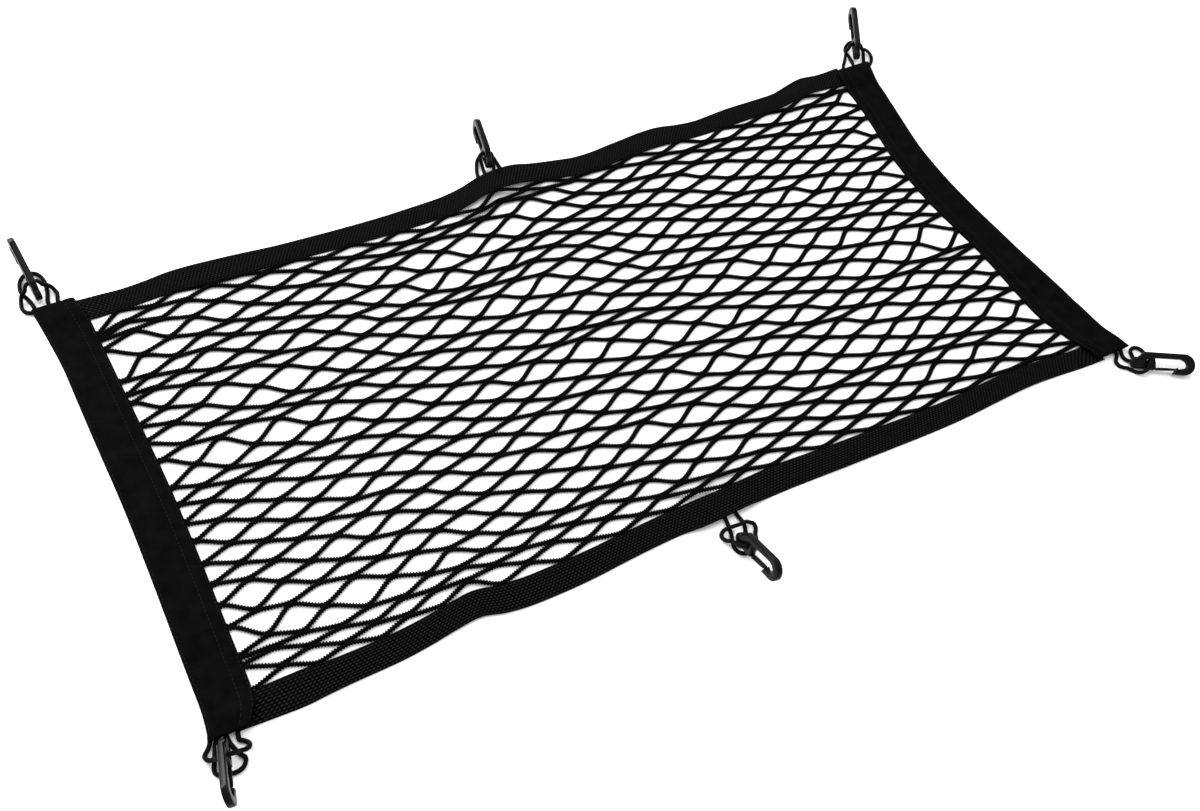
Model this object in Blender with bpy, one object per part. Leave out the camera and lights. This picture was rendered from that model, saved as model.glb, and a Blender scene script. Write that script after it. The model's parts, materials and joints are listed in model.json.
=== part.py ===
"""Elastic cargo net lying flat: a knitted net, two end sleeves, two edge bands and six snap hooks on cord loops.

X runs along the net's long side, Y across it and Z up. The sizes and tables below are in millimetres.
"""
import math
import random
from collections import namedtuple

import bmesh
import bpy
from mathutils import Matrix, Vector

MM = 0.001
CLEARANCE = 0.3

# Net
NET_COLUMNS = 21
NET_ROWS = 13
NET_LEVELS = 2 * NET_ROWS
NET_CORD = 3.0
NET_JOINT = 5.5
NET_RIM = 3.4
NET_HEIGHT = 2.8
NET_CROWN = 0.35
NET_DRIFT_ALONG = 3.2
NET_DRIFT_ACROSS = 1.9
NET_SEED = 7

# Strips of cloth: how many stretches each is built from
SLEEVE_STRETCHES = 30
BAND_STRETCHES = 40

# Cord loops
CORD_DIAMETER = 2.8
CORD_POINT_SPACING = 4.0
SAMPLES_A_TURN = 12
CORD_SIDE_RESOLUTION = 2

# Hook, in its own plane: along its length from the eye's end, and across it towards the spine
HOOK_LENGTH = 48.5
HOOK_WIDTH = 15.8
HOOK_THICKNESS = 4.4
HOOK_EDGE = 0.5
SPINE_WIDTH = 4.2
TIP_THICKNESS = 6.0
BASE_RADIUS = 4.4
BASE_CENTRE_ACROSS = -0.6
BLOCK_TOP_START = 10.5
BLOCK_END = 18.8
BLOCK_UNDERSIDE = -5.4
BLOCK_CORNER_ALONG = 1.0
BLOCK_CORNER_ACROSS = 0.6
BLOCK_TOP_SLOPE = 0.4
BEND_RADIUS = 5.5
BEND_CENTRE_ACROSS = -0.1
NOSE_START = 31.5
# The nose's slope: how far past its start and in from the hook's underside each corner lies
NOSE_CORNERS = ((4.4, 4.0), (3.4, 5.6), (0.0, 0.4))
BEVEL_ABOVE_DEGREES = 75
SMOOTH_BELOW_DEGREES = 50
EYE_ALONG = 13.5
EYE_ACROSS = 0.5
EYE_RADIUS = 2.1
GATE_THICKNESS = 3.6
GATE_ROOT_RADIUS = 0.9
GATE_ALONG = BLOCK_END + CLEARANCE + GATE_ROOT_RADIUS
GATE_ACROSS = -4.4
# The tongue's blade: how far past the nose's start and across from the hinge each corner lies
BLADE_CORNERS = ((-5.0, -0.7), (1.2, -0.4), (2.1, 1.0), (-5.0, 1.1))

# A cross-section of each kind of strip: share of the width from its outer edge, and height
Profile = namedtuple("Profile", "share height")
SLEEVE_PROFILE = (
    Profile(0.00, 1.1), Profile(0.04, 0.0), Profile(0.97, 0.0), Profile(1.00, 1.0),
    Profile(0.97, 2.1), Profile(0.80, 2.9), Profile(0.68, 2.2), Profile(0.05, 2.7),
)
BAND_PROFILE = (
    Profile(0.00, 0.9), Profile(0.05, 0.0), Profile(0.95, 0.0), Profile(1.00, 0.9),
    Profile(0.90, 1.9), Profile(0.10, 1.9),
)

# Sections of each strip: place along it, its outer and inner edges, and its lift off the ground
Section = namedtuple("Section", "along outer inner lift")
SLEEVE_LEFT = (
    Section(-171.3, -347.6, -323.4, 3.8), Section(-160.0, -346.0, -316.6, 3.5),
    Section(-148.0, -345.2, -314.9, 0.0), Section(-119.9, -345.0, -314.6, 0.0),
    Section(-60.0, -344.2, -313.8, 0.0), Section(-3.6, -344.2, -313.9, 0.0),
    Section(60.0, -346.0, -316.2, 0.0), Section(117.2, -347.4, -318.6, 0.0),
    Section(144.0, -349.8, -319.8, 0.0), Section(156.0, -351.6, -321.4, 3.4),
    Section(168.4, -353.2, -324.8, 3.5),
)
SLEEVE_RIGHT = (
    Section(-171.0, 353.2, 324.0, 3.5), Section(-156.5, 349.4, 318.4, 3.5),
    Section(-145.0, 348.6, 316.2, 0.0), Section(-119.0, 345.6, 308.6, 0.0),
    Section(-48.3, 336.8, 306.2, 0.0), Section(14.3, 330.8, 300.2, 0.0),
    Section(63.5, 331.0, 301.6, 0.0), Section(117.2, 338.6, 309.6, 0.0),
    Section(140.0, 342.0, 311.2, 0.0), Section(152.0, 343.0, 311.0, 3.4),
    Section(164.2, 346.6, 313.0, 3.6),
)
BAND_FAR = (
    Section(-320.0, 169.0, 148.4, 0.2), Section(-284.0, 167.3, 149.4, 0.0),
    Section(-253.0, 170.0, 150.8, 0.0), Section(-221.6, 167.9, 147.6, 0.6),
    Section(-177.0, 163.9, 145.8, 0.0), Section(-110.0, 160.6, 142.2, 0.4),
    Section(-65.0, 161.6, 142.4, 0.0), Section(-50.0, 162.2, 143.2, 0.3),
    Section(-34.0, 163.0, 145.0, 3.0), Section(-18.0, 167.4, 149.2, 3.7),
    Section(-2.0, 169.8, 150.6, 3.7), Section(13.5, 170.0, 149.9, 3.0),
    Section(30.0, 168.0, 147.8, 0.2), Section(65.0, 161.2, 142.4, 0.5),
    Section(105.0, 164.6, 145.4, 0.0), Section(136.0, 166.0, 145.8, 0.8),
    Section(168.0, 161.4, 144.6, 0.0), Section(203.0, 163.6, 145.4, 0.0),
    Section(252.6, 164.2, 147.2, 0.6), Section(279.5, 170.6, 151.7, 1.2),
    Section(297.0, 169.8, 152.0, 0.4), Section(315.0, 170.6, 151.8, 0.2),
)
BAND_NEAR = (
    Section(-320.0, -171.4, -150.4, 0.2), Section(-288.7, -173.0, -150.4, 0.0),
    Section(-266.3, -171.7, -152.2, 0.3), Section(-221.6, -170.4, -151.2, 0.0),
    Section(-177.0, -165.4, -146.8, 1.0), Section(-154.5, -170.6, -150.8, 0.3),
    Section(-110.0, -171.5, -151.4, 0.0), Section(-65.0, -168.6, -149.7, 0.4),
    Section(-34.0, -167.6, -148.4, 0.3), Section(-18.5, -169.8, -149.4, 3.4),
    Section(-2.5, -169.2, -149.5, 3.5), Section(13.5, -168.5, -149.0, 3.4),
    Section(29.0, -167.6, -147.4, 0.4), Section(47.0, -167.6, -146.9, 0.0),
    Section(91.6, -169.2, -149.6, 0.4), Section(181.0, -171.1, -152.2, 0.0),
    Section(252.6, -168.3, -150.8, 0.6), Section(279.5, -169.4, -152.1, 0.2),
    Section(297.0, -170.9, -153.9, 0.0), Section(315.0, -172.1, -155.4, 0.2),
)

# Hooks: the eye's end on the ground plan, its height, heading, lean of the spine to the left, and rise
HookPlace = namedtuple("HookPlace", "x y height heading lean rise")
HOOKS = {
    "far_left": HookPlace(-345.3, 175.3, 5.3, 95.9, -0.8, 19.5),
    "far_middle": HookPlace(-8.8, 170.6, 9.2, 78.4, -5.0, -0.5),
    "far_right": HookPlace(339.3, 170.7, 5.5, 66.9, 2.6, 19.0),
    "near_left": HookPlace(-339.9, -173.9, 6.4, -102.5, -11.6, 23.0),
    "near_middle": HookPlace(-2.2, -185.2, 7.0, -91.2, 13.4, 25.0),
    "near_right": HookPlace(343.7, -182.9, 4.8, -30.0, 63.0, 2.5),
}

# A cord's route round its hook. On the ground: along the hook, to its left, height above the ground.
# On the hook: along it, to the left of its plane, and across towards its spine.
Turn = namedtuple("Turn", "frame along side height")
FAR_LEFT_HITCH = (
    Turn("ground", 28.8, -1.2, 1.5), Turn("ground", 27.6, -4.4, 1.5), Turn("ground", 25.0, -7.0, 1.5),
    Turn("ground", 21.2, -8.4, 1.5), Turn("ground", 17.0, -8.7, 1.5), Turn("ground", 13.0, -8.3, 1.5),
    Turn("ground", 9.4, -7.6, 1.5), Turn("ground", 6.0, -6.7, 1.5), Turn("ground", 2.6, -5.4, 1.5),
    Turn("ground", -0.8, -4.2, 1.5), Turn("ground", -4.6, -4.0, 1.5), Turn("ground", -7.8, -5.6, 1.5),
    Turn("ground", -8.6, -8.4, 1.5), Turn("ground", -6.4, -10.3, 1.5), Turn("ground", -3.0, -10.2, 1.5),
    Turn("ground", 0.2, -11.4, 1.5), Turn("ground", 3.4, -12.3, 1.5), Turn("ground", 6.4, -11.8, 1.9),
    Turn("ground", 8.7, -10.7, 3.3), Turn("ground", 10.6, -8.5, 4.9), Turn("ground", 11.1, -6.1, 6.1),
    Turn("hook", 12.2, -5.0, -1.0), Turn("hook", 13.3, -3.5, 0.3), Turn("hook", 13.5, -1.0, 0.5),
    Turn("hook", 13.5, 1.0, 0.5), Turn("hook", 13.3, 3.5, 0.3), Turn("hook", 12.2, 5.0, -1.0),
    Turn("ground", 11.0, 6.2, 6.0), Turn("ground", 10.4, 8.6, 4.7), Turn("ground", 8.4, 10.4, 3.0),
    Turn("ground", 5.4, 11.8, 1.8), Turn("ground", 2.0, 12.7, 1.5), Turn("ground", -1.4, 12.5, 1.5),
    Turn("ground", -4.2, 10.6, 1.5), Turn("ground", -4.9, 7.9, 1.5), Turn("ground", -2.8, 5.9, 1.5),
    Turn("ground", 0.6, 5.7, 1.5), Turn("ground", 4.2, 6.0, 1.5), Turn("ground", 8.0, 6.8, 1.5),
    Turn("ground", 12.0, 7.9, 1.5), Turn("ground", 16.2, 8.3, 1.5), Turn("ground", 20.4, 7.3, 1.5),
    Turn("ground", 24.4, 5.5, 1.5), Turn("ground", 27.4, 2.6, 1.5),
)
FAR_MIDDLE_HITCH = (
    Turn("ground", 21.2, -0.6, 1.5), Turn("ground", 20.0, 2.0, 1.5), Turn("ground", 17.4, 4.4, 1.5),
    Turn("ground", 14.2, 6.4, 1.5), Turn("ground", 10.4, 7.8, 1.5), Turn("ground", 6.2, 8.8, 1.5),
    Turn("ground", 1.8, 9.5, 1.5), Turn("ground", -2.6, 9.7, 1.5), Turn("ground", -6.6, 8.7, 1.5),
    Turn("ground", -8.2, 6.4, 1.5), Turn("ground", -6.4, 4.2, 1.5), Turn("ground", -2.2, 3.9, 1.5),
    Turn("ground", 2.2, 4.0, 1.6), Turn("ground", 6.4, 4.3, 3.4), Turn("ground", 9.8, 4.8, 6.0),
    Turn("hook", 12.2, 4.8, -1.0), Turn("hook", 13.3, 3.5, 0.3), Turn("hook", 13.5, 1.0, 0.5),
    Turn("hook", 13.5, -1.0, 0.5), Turn("hook", 13.3, -3.5, 0.3), Turn("hook", 12.2, -4.8, -1.0),
    Turn("ground", 9.8, -4.8, 6.0), Turn("ground", 6.4, -4.3, 3.4), Turn("ground", 2.2, -4.2, 1.6),
    Turn("ground", -2.2, -4.2, 1.5), Turn("ground", -6.4, -4.6, 1.5), Turn("ground", -8.4, -6.8, 1.5),
    Turn("ground", -6.8, -9.2, 1.5), Turn("ground", -2.8, -9.8, 1.5), Turn("ground", 1.8, -9.4, 1.5),
    Turn("ground", 6.4, -8.6, 1.5), Turn("ground", 10.8, -7.7, 1.5), Turn("ground", 14.6, -7.0, 1.5),
    Turn("ground", 18.0, -5.4, 1.5), Turn("ground", 20.2, -3.0, 1.5),
)
FAR_RIGHT_HITCH = (
    Turn("ground", 25.2, 0.0, 1.5), Turn("ground", 23.4, 2.4, 1.5), Turn("ground", 20.4, 4.8, 1.5),
    Turn("ground", 17.0, 6.4, 1.5), Turn("ground", 13.2, 7.1, 1.5), Turn("ground", 9.8, 6.4, 1.5),
    Turn("ground", 6.6, 5.0, 1.5), Turn("ground", 3.4, 4.4, 1.5), Turn("ground", 0.0, 3.6, 1.5),
    Turn("ground", -4.4, 3.4, 1.5), Turn("ground", -9.4, 4.2, 1.5), Turn("ground", -13.6, 6.2, 1.5),
    Turn("ground", -15.2, 9.4, 1.5), Turn("ground", -13.0, 12.2, 1.5), Turn("ground", -9.2, 12.9, 1.5),
    Turn("ground", -5.3, 12.5, 1.5), Turn("ground", -2.1, 11.2, 1.5), Turn("ground", 1.7, 9.8, 1.6),
    Turn("ground", 5.0, 8.8, 2.4), Turn("ground", 7.6, 8.2, 3.6), Turn("ground", 9.8, 7.4, 5.0),
    Turn("ground", 11.0, 6.0, 6.2), Turn("hook", 12.2, 5.0, -1.0), Turn("hook", 13.3, 3.5, 0.3),
    Turn("hook", 13.5, 1.0, 0.5), Turn("hook", 13.5, -1.0, 0.5), Turn("hook", 13.3, -3.5, 0.3),
    Turn("hook", 12.2, -5.0, -1.0), Turn("ground", 11.6, -6.4, 6.2), Turn("ground", 12.2, -9.2, 5.0),
    Turn("ground", 11.8, -12.0, 3.6), Turn("ground", 9.6, -14.3, 2.3), Turn("ground", 6.4, -15.0, 1.6),
    Turn("ground", 2.8, -14.3, 1.5), Turn("ground", -0.8, -12.8, 1.5), Turn("ground", -3.4, -11.2, 1.5),
    Turn("ground", -6.2, -9.6, 1.5), Turn("ground", -6.4, -7.0, 1.5), Turn("ground", -3.6, -5.9, 1.5),
    Turn("ground", 0.4, -6.8, 1.5), Turn("ground", 4.2, -7.6, 1.5), Turn("ground", 8.0, -8.1, 1.5),
    Turn("ground", 12.0, -8.8, 1.5), Turn("ground", 15.8, -9.0, 1.5), Turn("ground", 19.6, -8.0, 1.5),
    Turn("ground", 22.8, -5.6, 1.5), Turn("ground", 24.8, -2.8, 1.5),
)
NEAR_LEFT_HITCH = (
    Turn("ground", 19.0, 1.4, 1.5), Turn("ground", 18.6, 4.8, 1.5), Turn("ground", 17.0, 8.0, 1.5),
    Turn("ground", 14.4, 9.8, 1.5), Turn("ground", 11.4, 10.2, 1.5), Turn("ground", 8.4, 7.4, 1.5),
    Turn("ground", 5.2, 5.2, 1.5), Turn("ground", 2.4, 3.6, 1.5), Turn("ground", -0.8, 2.2, 1.5),
    Turn("ground", -4.2, 1.6, 1.5), Turn("ground", -7.4, 2.6, 1.5), Turn("ground", -8.4, 5.4, 1.5),
    Turn("ground", -6.4, 7.8, 1.5), Turn("ground", -2.8, 7.9, 1.5), Turn("ground", 0.2, 8.4, 1.5),
    Turn("ground", 1.4, 10.8, 1.5), Turn("ground", 3.2, 13.2, 1.7), Turn("ground", 5.6, 13.4, 2.6),
    Turn("ground", 7.4, 11.4, 3.8), Turn("ground", 8.2, 9.0, 5.0), Turn("ground", 9.0, 7.2, 6.8),
    Turn("hook", 11.4, 5.6, -1.8), Turn("hook", 13.2, 3.7, 0.3), Turn("hook", 13.5, 1.0, 0.5),
    Turn("hook", 13.5, -1.0, 0.5), Turn("hook", 13.2, -3.7, 0.3), Turn("hook", 11.6, -5.2, -1.6),
    Turn("ground", 10.2, -6.2, 6.0), Turn("ground", 9.9, -8.9, 4.4), Turn("ground", 8.0, -10.9, 3.0),
    Turn("ground", 5.4, -11.5, 1.9), Turn("ground", 2.8, -9.9, 1.5), Turn("ground", 0.4, -8.6, 1.5),
    Turn("ground", -2.4, -7.8, 1.5), Turn("ground", -5.6, -7.6, 1.5), Turn("ground", -8.0, -6.2, 1.5),
    Turn("ground", -8.2, -3.6, 1.5), Turn("ground", -5.6, -2.2, 1.5), Turn("ground", -2.4, -3.8, 1.5),
    Turn("ground", 0.6, -5.2, 1.5), Turn("ground", 3.6, -5.7, 1.5), Turn("ground", 7.0, -6.2, 1.5),
    Turn("ground", 10.6, -6.8, 1.5), Turn("ground", 14.0, -7.4, 1.5), Turn("ground", 16.8, -6.9, 1.5),
    Turn("ground", 18.8, -4.4, 1.5), Turn("ground", 19.2, -1.4, 1.5),
)
NEAR_MIDDLE_HITCH = (
    Turn("ground", -27.0, 3.0, 1.5), Turn("ground", -21.0, 1.6, 1.5), Turn("ground", -15.4, 0.8, 1.5),
    Turn("ground", -11.9, 0.3, 1.5), Turn("ground", -8.6, -0.5, 1.5), Turn("ground", -5.2, -1.2, 1.5),
    Turn("ground", -1.6, -2.4, 1.5), Turn("ground", 1.8, -3.9, 1.5), Turn("ground", 5.2, -4.6, 1.5),
    Turn("ground", 8.4, -3.9, 1.5), Turn("ground", 10.8, -1.8, 1.5), Turn("ground", 12.2, 1.4, 1.5),
    Turn("ground", 12.4, 5.0, 1.5), Turn("ground", 11.0, 8.4, 1.5), Turn("ground", 8.2, 10.8, 1.5),
    Turn("ground", 4.8, 12.2, 1.5), Turn("ground", 1.6, 13.4, 1.5), Turn("ground", 0.2, 14.6, 1.5),
    Turn("ground", -2.0, 16.0, 1.5), Turn("ground", -5.0, 16.3, 1.8), Turn("ground", -6.3, 14.0, 3.0),
    Turn("ground", -7.2, 11.2, 4.6), Turn("ground", -7.0, 9.6, 4.8), Turn("ground", -7.1, 5.4, 4.9),
    Turn("ground", -7.4, 1.6, 4.9), Turn("ground", -7.8, -2.4, 4.4), Turn("ground", -7.8, -5.6, 3.2),
    Turn("ground", -5.8, -8.2, 2.2), Turn("ground", -2.8, -8.3, 2.2), Turn("ground", -0.2, -7.0, 3.4),
    Turn("ground", 1.4, -5.6, 5.0), Turn("ground", 3.2, -5.0, 6.2), Turn("hook", 8.6, -4.9, -1.8),
    Turn("hook", 11.8, -5.0, -0.8), Turn("hook", 13.3, -3.5, 0.3), Turn("hook", 13.5, -1.0, 0.5),
    Turn("hook", 13.5, 1.0, 0.5), Turn("hook", 13.3, 3.5, 0.3), Turn("hook", 11.6, 5.0, -0.9),
    Turn("hook", 7.8, 5.0, -2.4), Turn("ground", 3.6, 6.8, 4.8), Turn("ground", 0.2, 7.4, 3.0),
    Turn("ground", -2.4, 8.2, 1.9), Turn("ground", -4.7, 9.3, 1.5), Turn("ground", -7.9, 10.3, 1.5),
    Turn("ground", -11.0, 10.2, 1.5), Turn("ground", -15.0, 9.6, 1.5), Turn("ground", -20.0, 9.2, 1.5),
    Turn("ground", -27.0, 8.8, 1.5), Turn("ground", -29.6, 6.0, 1.5),
)
NEAR_RIGHT_HITCH = (
    Turn("hook", 13.5, -1.2, 0.5), Turn("ground", 13.4, -2.2, 9.4), Turn("ground", 12.6, -4.9, 8.8),
    Turn("ground", 11.0, -7.4, 6.6), Turn("ground", 8.2, -8.0, 3.6), Turn("ground", 5.0, -7.0, 1.9),
    Turn("ground", 1.8, -5.1, 1.5), Turn("ground", -1.6, -3.6, 1.5), Turn("ground", -4.8, -3.3, 1.5),
    Turn("ground", -7.6, -1.8, 1.5), Turn("ground", -8.8, 1.2, 1.5), Turn("ground", -8.0, 4.6, 1.5),
    Turn("ground", -7.0, 8.0, 1.5), Turn("ground", -7.6, 11.4, 1.5), Turn("ground", -8.4, 14.0, 1.5),
    Turn("ground", -6.8, 16.0, 1.5), Turn("ground", -4.2, 15.0, 1.5), Turn("ground", -3.2, 12.0, 1.5),
    Turn("ground", -3.0, 8.8, 1.5), Turn("ground", -2.2, 5.8, 1.5), Turn("ground", 0.2, 3.5, 1.5),
    Turn("ground", 3.4, 3.6, 1.5), Turn("ground", 4.9, 6.2, 1.5), Turn("ground", 4.6, 9.6, 1.5),
    Turn("ground", 4.4, 12.8, 1.5), Turn("ground", 6.2, 15.6, 1.5), Turn("ground", 9.2, 16.5, 1.5),
    Turn("ground", 12.2, 15.6, 1.5), Turn("ground", 14.3, 13.0, 1.5), Turn("ground", 15.0, 9.4, 1.5),
    Turn("ground", 13.9, 5.8, 1.9), Turn("hook", 13.5, 2.6, 0.5),
)
HITCHES = {
    "far_left": FAR_LEFT_HITCH, "far_middle": FAR_MIDDLE_HITCH, "far_right": FAR_RIGHT_HITCH,
    "near_left": NEAR_LEFT_HITCH, "near_middle": NEAR_MIDDLE_HITCH, "near_right": NEAR_RIGHT_HITCH,
}


def clear_scene():
    for thing in list(bpy.data.objects):
        bpy.data.objects.remove(thing)


def material(name, colour, roughness):
    made = bpy.data.materials.new(name)
    made.use_nodes = True
    shader = made.node_tree.nodes["Principled BSDF"]
    shader.inputs["Base Color"].default_value = (*colour, 1.0)
    shader.inputs["Roughness"].default_value = roughness
    shader.inputs["Metallic"].default_value = 0.0
    return made


def link_mesh(name, mesh, surface):
    made = bpy.data.objects.new(name, mesh)
    mesh.materials.append(surface)
    bpy.context.scene.collection.objects.link(made)
    return made


def finish_mesh(bm, name):
    bmesh.ops.recalc_face_normals(bm, faces=bm.faces)
    mesh = bpy.data.meshes.new(name)
    bm.to_mesh(mesh)
    bm.free()
    return mesh


def catmull_rom(before, start, end, after, share):
    """The point at this share of the way from start to end, on a smooth curve through all four."""
    return 0.5 * (
        2 * start
        + (end - before) * share
        + (2 * before - 5 * start + 4 * end - after) * share ** 2
        + (3 * start - before - 3 * end + after) * share ** 3
    )


def section_at(sections, along):
    """(outer, inner, lift) of a strip at a place along it, smooth between its sections."""
    last = len(sections) - 1
    index = max(i for i in range(last) if i == 0 or sections[i].along <= along)
    start = sections[index]
    end = sections[index + 1]
    share = (along - start.along) / (end.along - start.along)
    values = []
    for field in ("outer", "inner", "lift"):
        knots = [getattr(sections[min(max(index + step, 0), last)], field) for step in (-1, 0, 1, 2)]
        values.append(catmull_rom(*knots, share))
    outer, inner, lift = values
    return outer, inner, max(lift, 0.0)


def between_sleeves(share, y):
    """X at this share of the way from the left sleeve's inner edge to the right one's."""
    left = section_at(SLEEVE_LEFT, y)[1] + CLEARANCE
    right = section_at(SLEEVE_RIGHT, y)[1] - CLEARANCE
    return left + share * (right - left)


def nominal_x(share):
    first = BAND_FAR[0].along
    return first + share * (BAND_FAR[-1].along - first)


def strip(name, rings, surface):
    """A closed bar through rings of corners, each ring a list of (x, y, z)."""
    bm = bmesh.new()
    made = [[bm.verts.new(Vector(corner) * MM) for corner in ring] for ring in rings]
    corners = len(rings[0])
    for first, second in zip(made, made[1:]):
        for i in range(corners):
            j = (i + 1) % corners
            bm.faces.new((first[i], first[j], second[j], second[i]))
    bm.faces.new(made[0])
    bm.faces.new(made[-1])
    part = link_mesh(name, finish_mesh(bm, name), surface)
    part.data.shade_smooth()
    part.data.set_sharp_from_angle(angle=math.radians(SMOOTH_BELOW_DEGREES))
    return part


def sleeve(name, sections, surface):
    """A folded strip of cloth across the end of the net, lifted at its ends where the cord loops go under."""
    rings = []
    for step in range(SLEEVE_STRETCHES + 1):
        y = sections[0].along + (sections[-1].along - sections[0].along) * step / SLEEVE_STRETCHES
        outer, inner, lift = section_at(sections, y)
        rings.append([(outer + (inner - outer) * p.share, y, lift + p.height) for p in SLEEVE_PROFILE])
    return strip(name, rings, surface)


def band(name, sections, surface):
    """Elastic webbing along the net's long side, between the sleeves."""
    rings = []
    for step in range(BAND_STRETCHES + 1):
        share = step / BAND_STRETCHES
        outer, inner, lift = section_at(sections, nominal_x(share))
        ring = []
        for p in BAND_PROFILE:
            y = outer + (inner - outer) * p.share
            ring.append((between_sleeves(share, y), y, lift + p.height))
        rings.append(ring)
    return strip(name, rings, surface)


def net_point(share_x, share_y):
    """A place on the net's plan, from shares of its length and of its width."""
    nominal = nominal_x(min(max(share_x, 0.0), 1.0))
    near = section_at(BAND_NEAR, nominal)[1] + CLEARANCE
    far = section_at(BAND_FAR, nominal)[1] - CLEARANCE
    y = near + share_y * (far - near)
    return Vector((between_sleeves(share_x, y), y))


def net_rim():
    """The net's outline, with a point wherever the strips beside it have one."""
    bottom = [net_point(i / BAND_STRETCHES, 0.0) for i in range(BAND_STRETCHES)]
    right = [net_point(1.0, i / SLEEVE_STRETCHES) for i in range(SLEEVE_STRETCHES)]
    top = [net_point(1 - i / BAND_STRETCHES, 1.0) for i in range(BAND_STRETCHES)]
    left = [net_point(0.0, 1 - i / SLEEVE_STRETCHES) for i in range(SLEEVE_STRETCHES)]
    return bottom + right + top + left


def net_joints():
    """Where neighbouring cords are knitted together: a staggered grid, a little uneven away from the rim."""
    drift = random.Random(NET_SEED)
    joints = {}
    for column in range(-1, NET_COLUMNS + 2):
        for level in range(-1, NET_LEVELS + 2):
            place = net_point(column / NET_COLUMNS, level / NET_LEVELS)
            along = drift.uniform(-1, 1) * NET_DRIFT_ALONG
            across = drift.uniform(-1, 1) * NET_DRIFT_ACROSS
            if 0 < column < NET_COLUMNS:
                place.x += along
            if 0 < level < NET_LEVELS:
                place.y += across
            joints[column, level] = place
    return joints


def clip(outline, start, end):
    """The part of a convex outline to the left of the line from start to end."""
    line = (end - start).normalized()
    depths = [line.cross(corner - start) for corner in outline]
    kept = []
    for i, corner in enumerate(outline):
        before = i - 1
        if depths[before] * depths[i] < 0:
            share = depths[before] / (depths[before] - depths[i])
            kept.append(outline[before].lerp(corner, share))
        if depths[i] >= 0:
            kept.append(corner)
    return kept


def net_gap(joints, column, level):
    """The outline of one gap: six corners beside the four joints round it, less the net's rim."""
    left = joints[column - 1, level]
    right = joints[column + 1, level]
    below = joints[column, level - 1]
    above = joints[column, level + 1]
    half = NET_JOINT / 2
    outline = [
        Vector((left.x + half, left.y)),
        Vector((below.x - half, below.y + NET_CORD)),
        Vector((below.x + half, below.y + NET_CORD)),
        Vector((right.x - half, right.y)),
        Vector((above.x + half, above.y - NET_CORD)),
        Vector((above.x - half, above.y - NET_CORD)),
    ]
    first, last = (max(column - 1, 0) / NET_COLUMNS, min(column + 1, NET_COLUMNS) / NET_COLUMNS)
    low, high = (max(level - 1, 0) / NET_LEVELS, min(level + 1, NET_LEVELS) / NET_LEVELS)
    sides = (
        (net_point(first, 0), net_point(last, 0)), (net_point(1, low), net_point(1, high)),
        (net_point(last, 1), net_point(first, 1)), (net_point(0, high), net_point(0, low)),
    )
    for start, end in sides:
        inward = (end - start).normalized().orthogonal() * NET_RIM
        outline = clip(outline, start + inward, end + inward)
    return outline


def net_gaps():
    joints = net_joints()
    return [
        net_gap(joints, column, level)
        for column in range(NET_COLUMNS + 1)
        for level in range(1 - column % 2, NET_LEVELS + 1, 2)
    ]


def net_mesh(surface):
    """The whole net as one plate of cords, cut through at every gap, its cords narrower at the top."""
    bm = bmesh.new()
    centres = {}
    for loop in [net_rim()] + net_gaps():
        centre = sum(loop, Vector((0, 0))) / len(loop)
        ring = [bm.verts.new((p.x * MM, p.y * MM, 0)) for p in loop]
        for first, second in zip(ring, ring[1:] + ring[:1]):
            bm.edges.new((first, second))
        for corner in ring:
            centres[round(corner.co.x, 6), round(corner.co.y, 6)] = centre * MM
    bmesh.ops.triangle_fill(bm, use_beauty=True, use_dissolve=False, edges=bm.edges)
    raised = bmesh.ops.extrude_face_region(bm, geom=list(bm.faces))["geom"]
    unevenness = random.Random(NET_SEED + 1)
    for corner in [thing for thing in raised if isinstance(thing, bmesh.types.BMVert)]:
        centre = centres[round(corner.co.x, 6), round(corner.co.y, 6)]
        outward = Vector((corner.co.x - centre.x, corner.co.y - centre.y, 0)).normalized()
        if abs(centre.x) + abs(centre.y) > 20 * MM:
            corner.co += outward * NET_CROWN * MM
        corner.co.z = (NET_HEIGHT + unevenness.uniform(-NET_CROWN, NET_CROWN)) * MM
    return link_mesh("net_mesh", finish_mesh(bm, "net_mesh"), surface)


def arc(centre_along, centre_across, radius_along, radius_across, start, end, steps):
    """Points on a stretch of an ellipse, its angles in degrees."""
    points = []
    for step in range(steps + 1):
        angle = math.radians(start + (end - start) * step / steps)
        points.append((
            centre_along + radius_along * math.cos(angle),
            centre_across + radius_across * math.sin(angle),
        ))
    return points


def hook_outline():
    """Two halves of the hook's outline, below and above the line through its eye."""
    half = HOOK_WIDTH / 2
    inner = half - SPINE_WIDTH
    mouth_end = HOOK_LENGTH - TIP_THICKNESS
    base = BASE_RADIUS
    lower_eye = arc(EYE_ALONG, EYE_ACROSS, EYE_RADIUS, EYE_RADIUS, 360, 180, 6)
    upper_eye = arc(EYE_ALONG, EYE_ACROSS, EYE_RADIUS, EYE_RADIUS, 180, 0, 6)
    lower = arc(base, BASE_CENTRE_ACROSS, base, base, 180, 265, 4)
    lower += [
        (BLOCK_END - BLOCK_CORNER_ALONG, BLOCK_UNDERSIDE),
        (BLOCK_END, BLOCK_UNDERSIDE + BLOCK_CORNER_ACROSS),
        (BLOCK_END, EYE_ACROSS),
    ]
    lower += lower_eye
    upper = [(BLOCK_END, EYE_ACROSS), (BLOCK_END - BLOCK_TOP_SLOPE, inner)]
    upper += arc(mouth_end - BEND_RADIUS, BEND_CENTRE_ACROSS, BEND_RADIUS, inner - BEND_CENTRE_ACROSS, 90, -50, 7)
    upper += [(NOSE_START + along, -half + across) for along, across in NOSE_CORNERS]
    upper += arc(HOOK_LENGTH - half, 0.0, half, half, -90, 90, 10)
    upper += [(BLOCK_TOP_START, half)]
    upper += arc(base, BASE_CENTRE_ACROSS, base, base, 75, 180, 4)
    upper += upper_eye
    return lower, upper


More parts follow.
